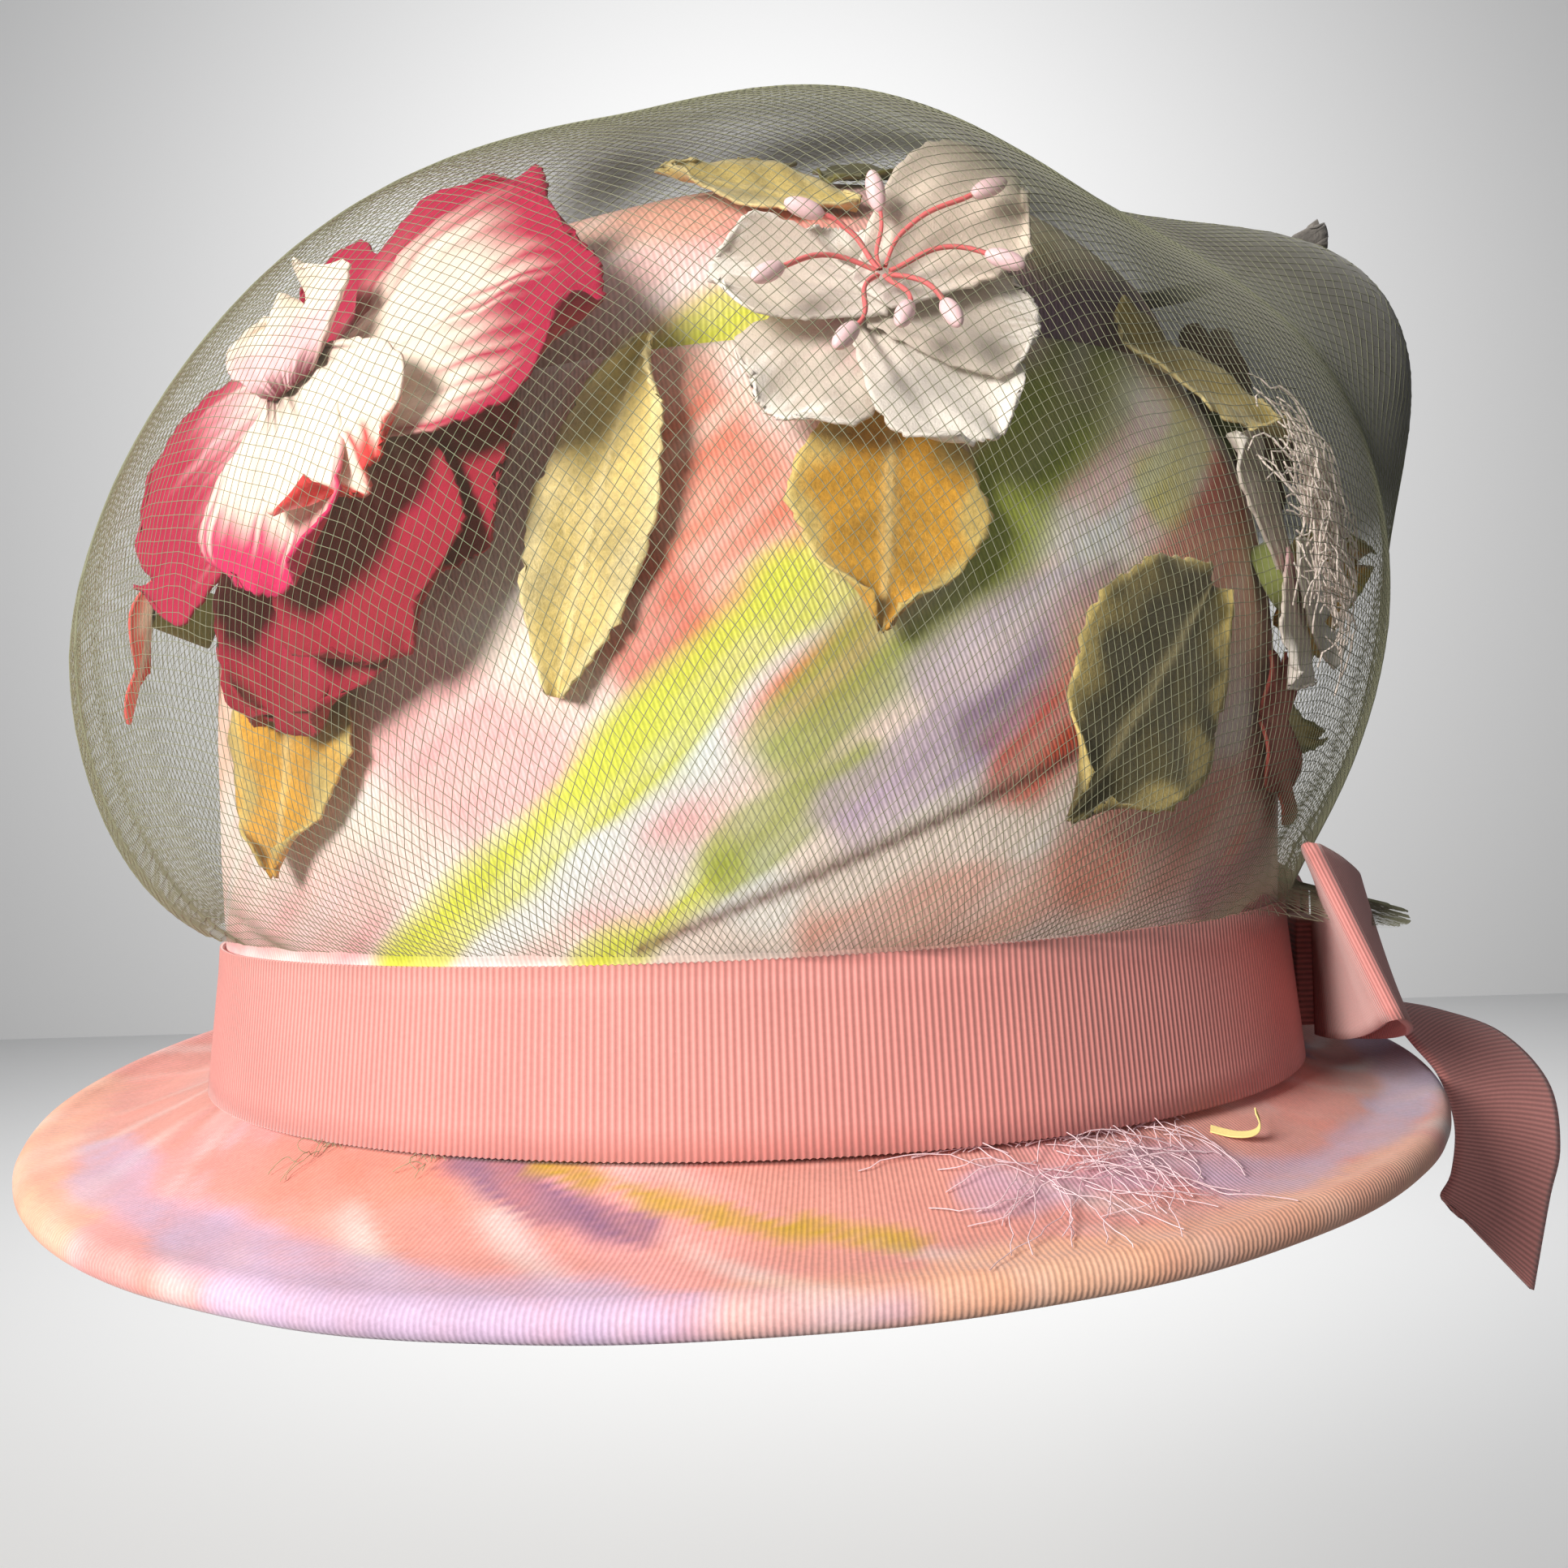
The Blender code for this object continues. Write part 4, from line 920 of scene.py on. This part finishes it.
FRAYED_PETALS = (
    (104.0, 0.98, 0.90, 0.0, TAUPE, TAUPE, PEARL, 0.70, 1.4),
    (246.0, 0.90, 0.78, 1.0, BLUSH, TAUPE, PEARL, 0.65, 1.6),
    (332.0, 0.90, 0.86, 2.0, PEARL, TAUPE, PEARL, 0.60, 1.6),
)
FLOWERS = (
    # name, azimuth, elevation, distance from the crown, radius, low bowl, high bowl, petals, finish, slot
    ("rose", -123.5, 31.5, 4.6, 42.5, -0.02, 0.04, ROSE_PETALS, petal_finish, "rose_petal"),
    ("white_blossom", -77.5, 37.5, 5.4, 23.0, -0.02, 0.16, BLOSSOM_PETALS, organza_finish, "organza"),
    ("frayed_flower", -28.0, 22.0, 5.0, 23.5, -0.06, 0.12, FRAYED_PETALS, organza_finish, "organza"),
)


def blade(line, turn, start, length, width, across, along, fray):
    """A petal or leaf laid flat: right and up from the middle of the flower, and how near its rim."""
    ahead = np.array([math.cos(math.radians(turn)), math.sin(math.radians(turn))])
    aside = np.array([ahead[1], -ahead[0]])
    edge = 2.0 * across - 1.0
    half = np.maximum(np.interp(along, *line), 0.04)
    rag = fray * ripple(np.stack([along * length, edge * width], axis=1), 2.2, int(abs(turn) * 7))
    rounding = 0.10 * length * edge ** 2 * smooth_step((along - 0.7) / 0.3)
    forth = start + length * along - rounding + rag * (along > 0.97)
    sideways = 0.5 * width * half * edge + rag * (np.abs(edge) > 0.97) * edge
    spots = forth[:, None] * ahead + sideways[:, None] * aside
    return spots, edge


def petal(node, flower, index, row):
    _, azimuth, elevation, out, radius, low_bowl, high_bowl, rows, finish, slot_name = flower
    turn, length, width, layer, heart, body, rim, rim_start, ruffle = row
    bowl = low_bowl + (high_bowl - low_bowl) * layer / (len(rows) - 1)

    def shape(across, along):
        spots, edge = blade(round_line, turn, -0.06 * radius, radius * length, radius * width,
                            across, along, 0.35)
        away = np.linalg.norm(spots, axis=1) / radius
        near_rim = np.maximum(np.abs(edge) * (0.35 + 0.65 * along), along)
        wave = np.sin(edge * (2.2 + index % 3) * math.pi * 0.5 + along * 4.0 + index * 1.7)
        fold = ripple(np.stack([edge * 12.0, along * 6.0], axis=1), 9.0, 40 + index)
        lift = ruffle * near_rim ** 2.5 * (0.55 * wave + 0.45 * fold)
        gathers = np.sin(edge * 8.0 + index) + 0.6 * np.sin(edge * 17.0 + 2.0 * index)
        lift = lift + GATHER_HEIGHT * gathers * (1.0 - along) ** 1.2 * smooth_step(along * 5.0)
        lift = lift + CREASE_HEIGHT * ripple(spots, 7.0, 60 + index) * along
        lift = lift + CUP_SHARE * radius * (np.abs(edge) ** 2.5 * along - 0.35)
        height = out + LAYER_PITCH * layer + bowl * radius * away ** 2 + lift
        points = on_hat(azimuth, elevation, spots[:, 0], spots[:, 1], height)
        streak = 0.10 * ripple(np.stack([edge * 30.0, along * 2.0], axis=1), 3.0, 80 + index)
        dye_and_shade = np.tile(body, (len(along), 1))
        depth = 0.30 if heart is WINE_AND_SHADE else 0.55
        dye_and_shade = blend_colour(dye_and_shade, heart, 1.0 - smooth_step((along + streak) / depth))
        soft_edge = 0.55 * (1.0 - rim_start) + 0.04
        brushed = smooth_step((near_rim + streak + 0.10 * fold - rim_start) / soft_edge)
        dye_and_shade = blend_colour(dye_and_shade, rim, brushed)
        if slot_name == "organza":
            clear = 0.82 + 0.14 * brushed
            dye_and_shade = np.concatenate([dye_and_shade, clear[:, None]], axis=1)
        return points, dye_and_shade

    piece = cloth(node + "_cloth", 34, 38, shape, finish, wall=PETAL_WALL)
    keep(piece, node, slot_name)


for flower in FLOWERS:
    for index, row in enumerate(flower[7]):
        petal(f"{flower[0]}_petal_{index + 1}", flower, index, row)
print("petals:", sum(len(flower[7]) for flower in FLOWERS))

# %% [markdown]
# Smaller blossoms are stamped from one round of cloth with five lobes. A grid turned into a disc does it:
# the across way runs round the blossom, and the along way runs out from its middle.

# %% Stamped blossoms
DUSTY = tint(196, 120, 108)
BROWN = tint(120, 88, 70)
STAMPED = (
    # name, azimuth, elevation, distance, radius, spin, bowl, heart, rim, slot
    ("pink_blossom_left", -160.0, 22.0, 11.0, 19.0, 10.0, 0.16, IVORY, tint(228, 92, 88), "pink_cloth"),
    ("brown_blossom_right", 2.0, 38.5, 10.0, 17.9, 35.0, 0.10, BROWN, tint(96, 78, 70), "brown_cloth"),
    ("pink_blossom_right", -28.0, 8.0, 1.7, 14.1, 20.0, 0.06, DUSTY, tint(150, 70, 62), "pink_cloth"),
    ("pink_blossom_back", 78.0, 20.0, 4.0, 23.8, 50.0, 0.15, BLUSH, HOT_PINK, "pink_cloth"),
    ("cream_blossom_back", 128.0, 30.0, 4.0, 21.9, 5.0, 0.15, PEARL, IVORY, "organza"),
)


def stamped(row):
    name, azimuth, elevation, out, radius, spin, bowl, heart, rim, slot_name = row

    def shape(across, along):
        turn = math.tau * across + math.radians(spin)
        lobe = np.abs(np.sin(2.5 * (turn - math.radians(spin))))
        edge = along * (1.0 - 0.34 * along * (1.0 - lobe ** 0.6))
        side_by_side = np.stack([np.cos(turn), np.sin(turn)], axis=1)
        spots = side_by_side * (radius * edge)[:, None]
        wave = 0.9 * along ** 2 * np.sin(turn * 7.0 + azimuth) * radius / 20.0
        crease = -0.8 * (1.0 - lobe) ** 2 * along
        height = out + bowl * radius * edge ** 2 + wave + crease
        points = on_hat(azimuth, elevation, spots[:, 0], spots[:, 1], height)
        streak = 0.12 * ripple(side_by_side * 8.0, 2.0, int(radius * 10))
        dye_and_shade = np.tile(heart, (len(along), 1))
        dye_and_shade = blend_colour(dye_and_shade, rim, smooth_step((along + streak - 0.45) / 0.5))
        return points, dye_and_shade

    piece = cloth(name + "_cloth", 100, 22, shape, petal_finish, wall=PETAL_WALL, close=True)
    keep(piece, name, slot_name)


for row in STAMPED:
    stamped(row)
print("stamped blossoms:", len(STAMPED))

# %% [markdown]
# Each flower is sewn down by a small padded stub. A short cylinder is added where the stub stands, tipped
# the way that the flower faces, and its edge is bevelled.

# %% Stubs
STUBS = [(f"{f[0]}_base", f[1], f[2], f[3], 5.5) for f in FLOWERS]
STUBS += [(f"{s[0]}_base", s[1], s[2], s[3], 4.4) for s in STAMPED]
for node, azimuth, elevation, out, radius in STUBS:
    facing = heading(azimuth, elevation)
    foot = CENTRE + facing * (carrier(facing[None, :])[0] + 0.5 * out)
    bpy.ops.object.select_all(action="DESELECT")
    bpy.ops.mesh.primitive_cylinder_add(
        vertices=24, radius=radius * MM, depth=max(0.8, out - 1.6) * MM, location=foot * MM,
        rotation=Vector(facing).to_track_quat("Z", "Y").to_euler())
    stub = bpy.context.object
    stub.name = node + "_cloth"
    bpy.ops.object.transform_apply(location=True, rotation=True, scale=True)
    apply_modifier(stub, "BEVEL", width=0.35 * MM, segments=3)
    bpy.ops.object.shade_smooth_by_angle(angle=0.7)
    stub.data.materials.append(stub_finish)
    keep(stub, node, "leaf_cloth")
print("stubs:", len(STUBS))

# %% [markdown]
# Leaves are stiff satin, folded a little along the middle vein, with ragged cut edges. Some are gold where
# the light falls on them and others are olive. The dark olive of the low right leaf and the grey of the spike
# at the right are painted shade.

# %% Leaves
GOLD = tint(206, 184, 112)
PALE_GOLD = tint(226, 208, 150)
AMBER = tint(205, 150, 44)
OLIVE = tint(134, 128, 64)
# Painted shade: a darker olive for the leaf at the low right, which lies in shade.
SHADE_OLIVE = tint(92, 82, 44)
# Painted shade: a dark grey for the spike at the right, which lies in shade.
SHADE_GREY = tint(112, 108, 104)
LEAVES = (
    # node, azimuth, elevation, turn, length, width, tip rise, cup, body, edge, wave
    ("leaf_by_rose", -100.5, 24.5, 76.0, 1.00, 0.70, 5.0, 0.10, GOLD, PALE_GOLD, 1.6),
    ("leaf_under_rose", -132.0, 9.0, 268.0, 0.76, 1.34, 3.0, 0.06, AMBER, GOLD, 1.2),
    ("leaf_under_blossom", -77.5, 24.2, 262.0, 0.68, 1.10, 2.6, 0.08, AMBER, GOLD, 0.8),
    ("leaf_above_blossom", -86.0, 54.0, 165.0, 0.60, 0.56, 4.0, 0.10, GOLD, PALE_GOLD, 1.2),
    ("leaf_top_right", -62.0, 63.0, 35.0, 0.82, 0.70, 2.0, 0.06, OLIVE, OLIVE, 1.0),
    ("leaf_top_middle", -88.0, 66.0, 92.0, 0.72, 0.72, 4.0, 0.08, OLIVE, GOLD, 1.0),
    ("leaf_curled_right", -34.5, 38.0, 318.0, 0.72, 0.70, 8.5, 0.05, GOLD, PALE_GOLD, 2.0),
    ("leaf_low_right", -54.0, 11.0, 223.0, 1.02, 1.26, 4.0, 0.06, SHADE_OLIVE, GOLD, 1.6),
    ("leaf_far_right", -10.5, 21.0, 8.0, 0.86, 0.80, 22.5, 0.10, AMBER, OLIVE, 1.4),
    ("leaf_spike_right", 0.0, 50.0, 268.0, 0.50, 0.40, 40.0, 0.05, SHADE_GREY, SHADE_GREY, 0.5),
    ("leaf_left_edge", -152.0, 36.0, 160.0, 0.66, 0.60, 6.0, 0.10, AMBER, GOLD, 1.0),
    ("leaf_hook_right", -6.0, 9.0, 350.0, 0.56, 0.34, 12.0, 0.05, GOLD, OLIVE, 0.8),
    ("leaf_back_right", 48.0, 16.0, 250.0, 1.00, 0.92, 5.0, 0.10, GOLD, PALE_GOLD, 1.4),
    ("leaf_back_middle", 104.0, 10.0, 280.0, 0.90, 0.92, 4.0, 0.10, AMBER, GOLD, 1.4),
    ("leaf_back_top", 105.0, 55.0, 60.0, 0.92, 0.86, 5.0, 0.10, GOLD, PALE_GOLD, 1.4),
    ("leaf_back_left", 160.0, 38.0, 110.0, 0.92, 0.86, 5.0, 0.10, OLIVE, GOLD, 1.4),
)
LEAF_LENGTH = 48.0
LEAF_WIDTH = 25.0
LEAF_REST = 0.55


def leaf(row):
    node, azimuth, elevation, turn, length, width, tip_rise, cup, body, edge_tone, wave = row

    def shape(across, along):
        spots, edge = blade(leaf_line, turn, -0.5 * LEAF_LENGTH * length, LEAF_LENGTH * length,
                            LEAF_WIDTH * width, across, along, 0.5)
        vein = np.exp(-(edge / 0.07) ** 2)
        ribs = np.sin((along * 9.0 - np.abs(edge) * 1.6) * math.pi)
        curl = np.abs(edge) ** 3 * np.sin(along * 9.0 + np.sign(edge) * 1.3 + turn)
        height = LEAF_REST + tip_rise * along ** 2 + cup * LEAF_WIDTH * width * 0.5 * edge ** 2
        height = height + wave * (0.55 + 0.45 * curl) * smooth_step(np.abs(edge) * 1.2)
        height = height + 0.16 * ribs * (1.0 - vein) + 0.35 * (vein - 0.3) + 0.3
        points = on_hat(azimuth, elevation, spots[:, 0], spots[:, 1], height)
        patch = ripple(spots, 9.0, int(abs(azimuth)) + 3)
        dye_and_shade = np.tile(body, (len(along), 1))
        dye_and_shade = blend_colour(dye_and_shade, edge_tone, smooth_step((np.abs(edge) - 0.55 + 0.25 * patch) / 0.45))
        dye_and_shade = blend_colour(dye_and_shade, body * 0.55, 0.35 * smooth_step(patch * 1.5))
        dye_and_shade = blend_colour(dye_and_shade, PALE_GOLD, 0.55 * vein)
        return points, dye_and_shade

    piece = cloth(node + "_cloth", 30, 44, shape, leaf_finish, wall=0.45)
    keep(piece, node, "leaf_cloth")


for row in LEAVES:
    leaf(row)
print("leaves:", len(LEAVES))

# %% [markdown]
# The white blossom has eight pink threads that fan out of one button, each with a pearl tip.
# A thread is a curve with a round bevel, turned into a mesh. A tip is a sphere stretched along its thread.

# %% Stamens
def thread_finish(name, tone, rough=0.6):
    return cloth_finish(name, tone=tone, rough=rough, sheen=0.1, fibre=2500.0, grain=0.3, bump=0.00003)


def threads(name, lines, radius, finish):
    """Round threads along lists of points in millimetres, as one mesh."""
    curve = bpy.data.curves.new(name, "CURVE")
    curve.dimensions = "3D"
    curve.bevel_depth = radius * MM
    curve.bevel_resolution = 0
    for line in lines:
        spline = curve.splines.new("POLY")
        spline.points.add(len(line) - 1)
        places = np.ones((len(line), 4))
        places[:, :3] = line * MM
        spline.points.foreach_set("co", places.ravel())
    piece = bpy.data.objects.new(name, curve)
    bpy.context.scene.collection.objects.link(piece)
    bpy.ops.object.select_all(action="DESELECT")
    piece.select_set(True)
    bpy.context.view_layer.objects.active = piece
    bpy.ops.object.convert(target="MESH")
    piece = bpy.context.object
    bpy.ops.object.shade_smooth()
    piece.data.materials.clear()
    piece.data.materials.append(finish)
    return piece


thread_pink = thread_finish("stamen_thread", tint(228, 110, 112))
pearl = thread_finish("stamen_pearl", tint(246, 208, 214), rough=0.4)
STAMEN_TURNS = (8.0, 52.0, 98.0, 132.0, 178.0, 232.0, 278.0, 318.0)
STAMEN_REACHES = (0.92, 1.10, 0.62, 0.74, 0.98, 1.02, 0.60, 0.72)
_, azimuth, elevation, out, radius = FLOWERS[1][:5]
button = out + LAYER_PITCH * 5.0 + 1.6
lines, tips = [], []
for index, (turn, reach) in enumerate(zip(STAMEN_TURNS, STAMEN_REACHES)):
    along = np.linspace(0.06, 0.86, 14)
    swing = np.radians(turn) + 0.25 * np.sin(along * 4.0 + index)
    far = 15.0 * reach * along
    height = button + 0.16 * far ** 2 / radius + 2.6 * reach * np.sin(along * 1.6)
    lines.append(on_hat(azimuth, elevation, far * np.cos(swing), far * np.sin(swing), height))
    tips.append((lines[-1][-1], lines[-1][-1] - lines[-1][-3]))
stamens = threads("stamen_threads", lines, 0.36, thread_pink)
parts = [stamens]
for place, way in tips:
    bpy.ops.object.select_all(action="DESELECT")
    bpy.ops.mesh.primitive_uv_sphere_add(
        segments=20, ring_count=12, radius=1.25 * MM, location=(place + way * 0.9) * MM,
        rotation=Vector(way).to_track_quat("Z", "Y").to_euler(), scale=(1.0, 1.0, 2.2))
    bead = bpy.context.object
    bpy.ops.object.transform_apply(location=True, rotation=True, scale=True)
    bpy.ops.object.shade_smooth()
    bead.data.materials.append(pearl)
    parts.append(bead)
bpy.ops.object.select_all(action="DESELECT")
for part in parts:
    part.select_set(True)
bpy.context.view_layer.objects.active = stamens
bpy.ops.object.join()
stamens.name = "white_blossom_stamens_threads"
keep(stamens, "white_blossom_stamens", "stamen")
print("stamens:", len(tips))

# %% [markdown]
# The frayed flower is worn: its middle is a knot of pale loose fibres. A little of the same lies on the
# brim, in lilac, with a cream end, and wisps of net lie at the ribbon's foot on the left.

# %% Loose fibres
def tuft(seed, count, place, length, curl):
    """Short curly fibres that start near one place: place(sideways, upwards, out) gives a point."""
    draw = np.random.default_rng(seed)
    found = []
    for _ in range(count):
        steps = 12
        way = draw.uniform(0.0, math.tau)
        bends = np.cumsum(draw.normal(0.0, curl, steps))
        step = draw.uniform(0.5, 1.0) * length / steps
        x = draw.normal(0.0, length * 0.16) + np.cumsum(np.cos(way + bends)) * step
        y = draw.normal(0.0, length * 0.16) + np.cumsum(np.sin(way + bends)) * step
        rise = draw.uniform(0.3, 1.0) * np.sin(np.linspace(0.2, 3.0, steps))
        found.append(place(x, y, rise))
    return found


def on_brim(azimuth, out):
    def place(x, y, rise):
        share = np.clip(out + y / BRIM_WIDTH, 0.06, 0.98)
        turn = azimuth + x / 1.9
        level = -GAP - BRIM_DROP * np.interp(share, BRIM_OUT, BRIM_TOP_DOWN)
        return brim_spot(turn, share, level + 0.25 + 2.2 * rise)
    return place


core = tuft(5, 170, lambda x, y, rise: on_hat(-31.0, 24.0, x, y, 10.5 + 5.0 * rise), 24.0, 0.80)
fibres = threads("frayed_flower_fibres", core, 0.15, thread_finish("pale_fibre", tint(240, 226, 218)))
keep(fibres, None, "organza")
lilac = tuft(8, 44, on_brim(-66.0, 0.20), 26.0, 0.26) + tuft(9, 40, on_brim(-58.0, 0.22), 20.0, 0.30)
loose = threads("loose_lilac_fibres", lilac, 0.075, thread_finish("lilac_fibre", tint(232, 206, 214)))
keep(loose, None, "organza")
hook_run = np.linspace(0.0, 1.0, 16)
hook_place = on_brim(-49.0, 0.16)
hook = [hook_place(9.0 * hook_run + 1.5 * spread, 5.0 * np.sin(hook_run * 2.6) - spread, 1.2 * hook_run)
        for spread in np.linspace(-0.5, 0.5, 9)]
cream_end = threads("cream_hooked_end", hook, 0.14, thread_finish("cream_fibre", tint(244, 226, 150)))
keep(cream_end, None, "organza")
wisps = tuft(12, 9, on_brim(-128.0, 0.10), 7.0, 0.4) + tuft(13, 7, on_brim(-116.0, 0.10), 5.0, 0.4)
net_wisps = threads("net_wisps", wisps, 0.06, thread_finish("net_wisp", tint(150, 150, 120)))
keep(net_wisps, None, "net")
print("loose fibres:", len(core) + len(lilac) + len(wisps))

# %% [markdown]
# The net is one round of fine diamond mesh, laid over the flowers and gathered under the ribbon's top edge.
# Its form comes from the veil solid: a smoothed copy is felt from outside with rays, and the distance from
# the crown's middle is kept in a table. Net and film both read that table, so they lie on each other.

# %% Feel the veil's form
bpy.ops.object.select_all(action="DESELECT")
solid_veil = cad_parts["veil"]
feeler = solid_veil.copy()
feeler.data = solid_veil.data.copy()
bpy.context.scene.collection.objects.link(feeler)
feeler.parent = None
feeler.hide_set(False)
feeler.select_set(True)
bpy.context.view_layer.objects.active = feeler
bpy.ops.object.mode_set(mode="EDIT")
bpy.ops.mesh.select_all(action="SELECT")
bpy.ops.mesh.remove_doubles(threshold=0.00001)
bpy.ops.mesh.tris_convert_to_quads(face_threshold=1.2, shape_threshold=1.2)
bpy.ops.object.mode_set(mode="OBJECT")
apply_modifier(feeler, "SUBSURF", levels=2)
tree = BVHTree.FromPolygons([v.co.copy() for v in feeler.data.vertices],
                            [list(p.vertices) for p in feeler.data.polygons])
bpy.data.objects.remove(feeler, do_unlink=True)

FELT_ROUND = 240
FELT_DOWN = 99
FOOT_ELEVATION = -8.0
felt = np.zeros((FELT_DOWN, FELT_ROUND))
elevations = np.linspace(90.0, FOOT_ELEVATION, FELT_DOWN)
centre = Vector(CENTRE * MM)
for row, elevation in enumerate(elevations):
    for column in range(FELT_ROUND):
        way = Vector(heading(360.0 * column / FELT_ROUND, min(elevation, 89.9)))
        hit = tree.ray_cast(centre + way * 0.4, -way)[0]
        felt[row, column] = (hit - centre).length / MM if hit else np.nan
for row in range(1, FELT_DOWN):
    felt[row] = np.where(np.isnan(felt[row]), felt[row - 1], felt[row])
soft = felt.copy()
for _ in range(2):
    soft = 0.5 * soft + 0.25 * np.roll(soft, 1, axis=1) + 0.25 * np.roll(soft, -1, axis=1)
profile = soft.mean(axis=1)
rises = np.radians(elevations)
veil_steps = np.concatenate([[0.0], np.cumsum(np.hypot(
    np.diff(profile * np.cos(rises)), np.diff(profile * np.sin(rises))))])
NET_REACH = float(veil_steps[-1])
print("net from top to foot:", round(NET_REACH, 1), "mm")


def on_veil(azimuth, reach, out):
    """Points of the net: way round, and millimetres of net from its middle."""
    elevation = np.interp(reach, veil_steps, elevations)
    row = np.clip((90.0 - elevation) / (90.0 - FOOT_ELEVATION) * (FELT_DOWN - 1), 0, FELT_DOWN - 1.001)
    column = (azimuth % 360.0) / 360.0 * FELT_ROUND
    low_row, low_column = row.astype(int), np.floor(column).astype(int) % FELT_ROUND
    part_row, part_column = row - low_row, column - np.floor(column)
    next_column = (low_column + 1) % FELT_ROUND
    upper = soft[low_row, low_column] * (1 - part_column) + soft[low_row, next_column] * part_column
    lower = soft[low_row + 1, low_column] * (1 - part_column) + soft[low_row + 1, next_column] * part_column
    distance = upper * (1 - part_row) + lower * part_row
    low = smooth_step((reach / NET_REACH - 0.62) / 0.38)
    folds = np.sin(np.radians(azimuth) * 31.0 + 3.0 * np.sin(np.radians(azimuth) * 5.0))
    distance = distance + 0.9 * low * (1.0 - 0.6 * low) * folds
    turn, rise = np.radians(azimuth), np.radians(np.minimum(elevation, 89.98))
    ways = np.stack([np.cos(rise) * np.cos(turn), np.cos(rise) * np.sin(turn), np.sin(rise)], axis=1)
    return CENTRE + ways * (distance + out)[:, None]


# %% [markdown]
# The net is drawn in two parts. A very thin film gives its haze: almost none in front, and much where the
# net is bunched, over the top and at the right. Over the top and at the right the film is also darkened as
# painted shade.
# The threads are real, one family for each diagonal.

# %% Film and threads of the net
HAZE = 0.05
BUNCH_AND_SHADE_HAZE = 0.50
TOP_SHADE_HAZE = 0.88
FOOT_HAZE = 0.10
MOST_HAZE = 0.90
CELL = 1.66
SEGMENT = 3.9
THREAD_RADIUS = 0.05
THREAD_DRIFT = 0.35
film_finish = cloth_finish("net_haze_and_shade", rough=0.9, sheen=0.2, fibre=900.0, grain=0.6, see_through=True)


def film_shape(across, along):
    azimuth = 90.0 + 360.0 * across
    reach = NET_REACH * (1.0 - along)
    points = on_veil(azimuth, reach, -0.05)
    points[np.isclose(along, 1.0), :2] = 0.0
    across_way = front_way(azimuth)
    elevation = np.interp(reach, veil_steps, elevations)
    # Painted shade at the right: the bunched net gets denser haze, painted grey as shade.
    bunched_and_shade = np.exp(-((across_way - 6.0) / 20.0) ** 2 - ((elevation - 38.0) / 19.0) ** 2)
    # Painted shade over the top: a dense dark olive film.
    lowest = 130.0 - 0.45 * np.maximum(0.0, points[:, 0] - 10.0)
    top = smooth_step((points[:, 2] - lowest) / 14.0) * smooth_step((points[:, 0] + 58.0) / 34.0)
    top = top * (0.75 + 0.25 * ripple(points, 24.0, 91))
    streaks = 0.5 + 0.5 * ripple(np.stack([azimuth, reach * 0.15], axis=1), 5.0, 90)
    low = smooth_step((reach / NET_REACH - 0.7) / 0.3)
    alpha = HAZE + BUNCH_AND_SHADE_HAZE * bunched_and_shade + TOP_SHADE_HAZE * top + FOOT_HAZE * low * np.clip(streaks, 0.0, 1.0)
    alpha = np.minimum(alpha, MOST_HAZE)
    dye_and_shade = np.tile(tint(150, 152, 132), (len(along), 1))
    # Painted shade: dark olive over the top and grey at the right.
    dye_and_shade = blend_colour(dye_and_shade, tint(56, 49, 20), top)
    dye_and_shade = blend_colour(dye_and_shade, tint(92, 91, 88), bunched_and_shade)
    return points, np.concatenate([dye_and_shade, alpha[:, None]], axis=1)


film = cloth("net_film", 240, 80, film_shape, film_finish, close=True)
keep(film, "veil", "net")

strand_finish = thread_finish("net_thread", tint(128, 130, 106), rough=0.7)
nets = []
for family, lean_way in (("rising", 1.0), ("falling", -1.0)):
    lines = []
    for offset in np.arange(-NET_REACH + 0.4 * CELL, NET_REACH, CELL):
        half = math.sqrt(NET_REACH ** 2 - offset ** 2)
        if half < 6.0:
            continue
        along = np.linspace(-half, half, max(4, int(2 * half / SEGMENT)))
        flat_x = (along - lean_way * offset) * math.sqrt(0.5)
        flat_y = lean_way * (along + lean_way * offset) * math.sqrt(0.5)
        spots = np.stack([flat_x, flat_y], axis=1)
        drift = THREAD_DRIFT * np.stack([ripple(spots, 14.0, 71), ripple(spots, 14.0, 72)], axis=1)
        spots = spots + drift
        reach = np.minimum(np.linalg.norm(spots, axis=1), NET_REACH)
        lines.append(on_veil(np.degrees(np.arctan2(spots[:, 1], spots[:, 0])), reach, 0.0))
    nets.append(threads("net_threads_" + family, lines, THREAD_RADIUS, strand_finish))
    keep(nets[-1], None, "net")
    print("net threads", family, ":", len(lines), "threads,", len(nets[-1].data.polygons), "faces")
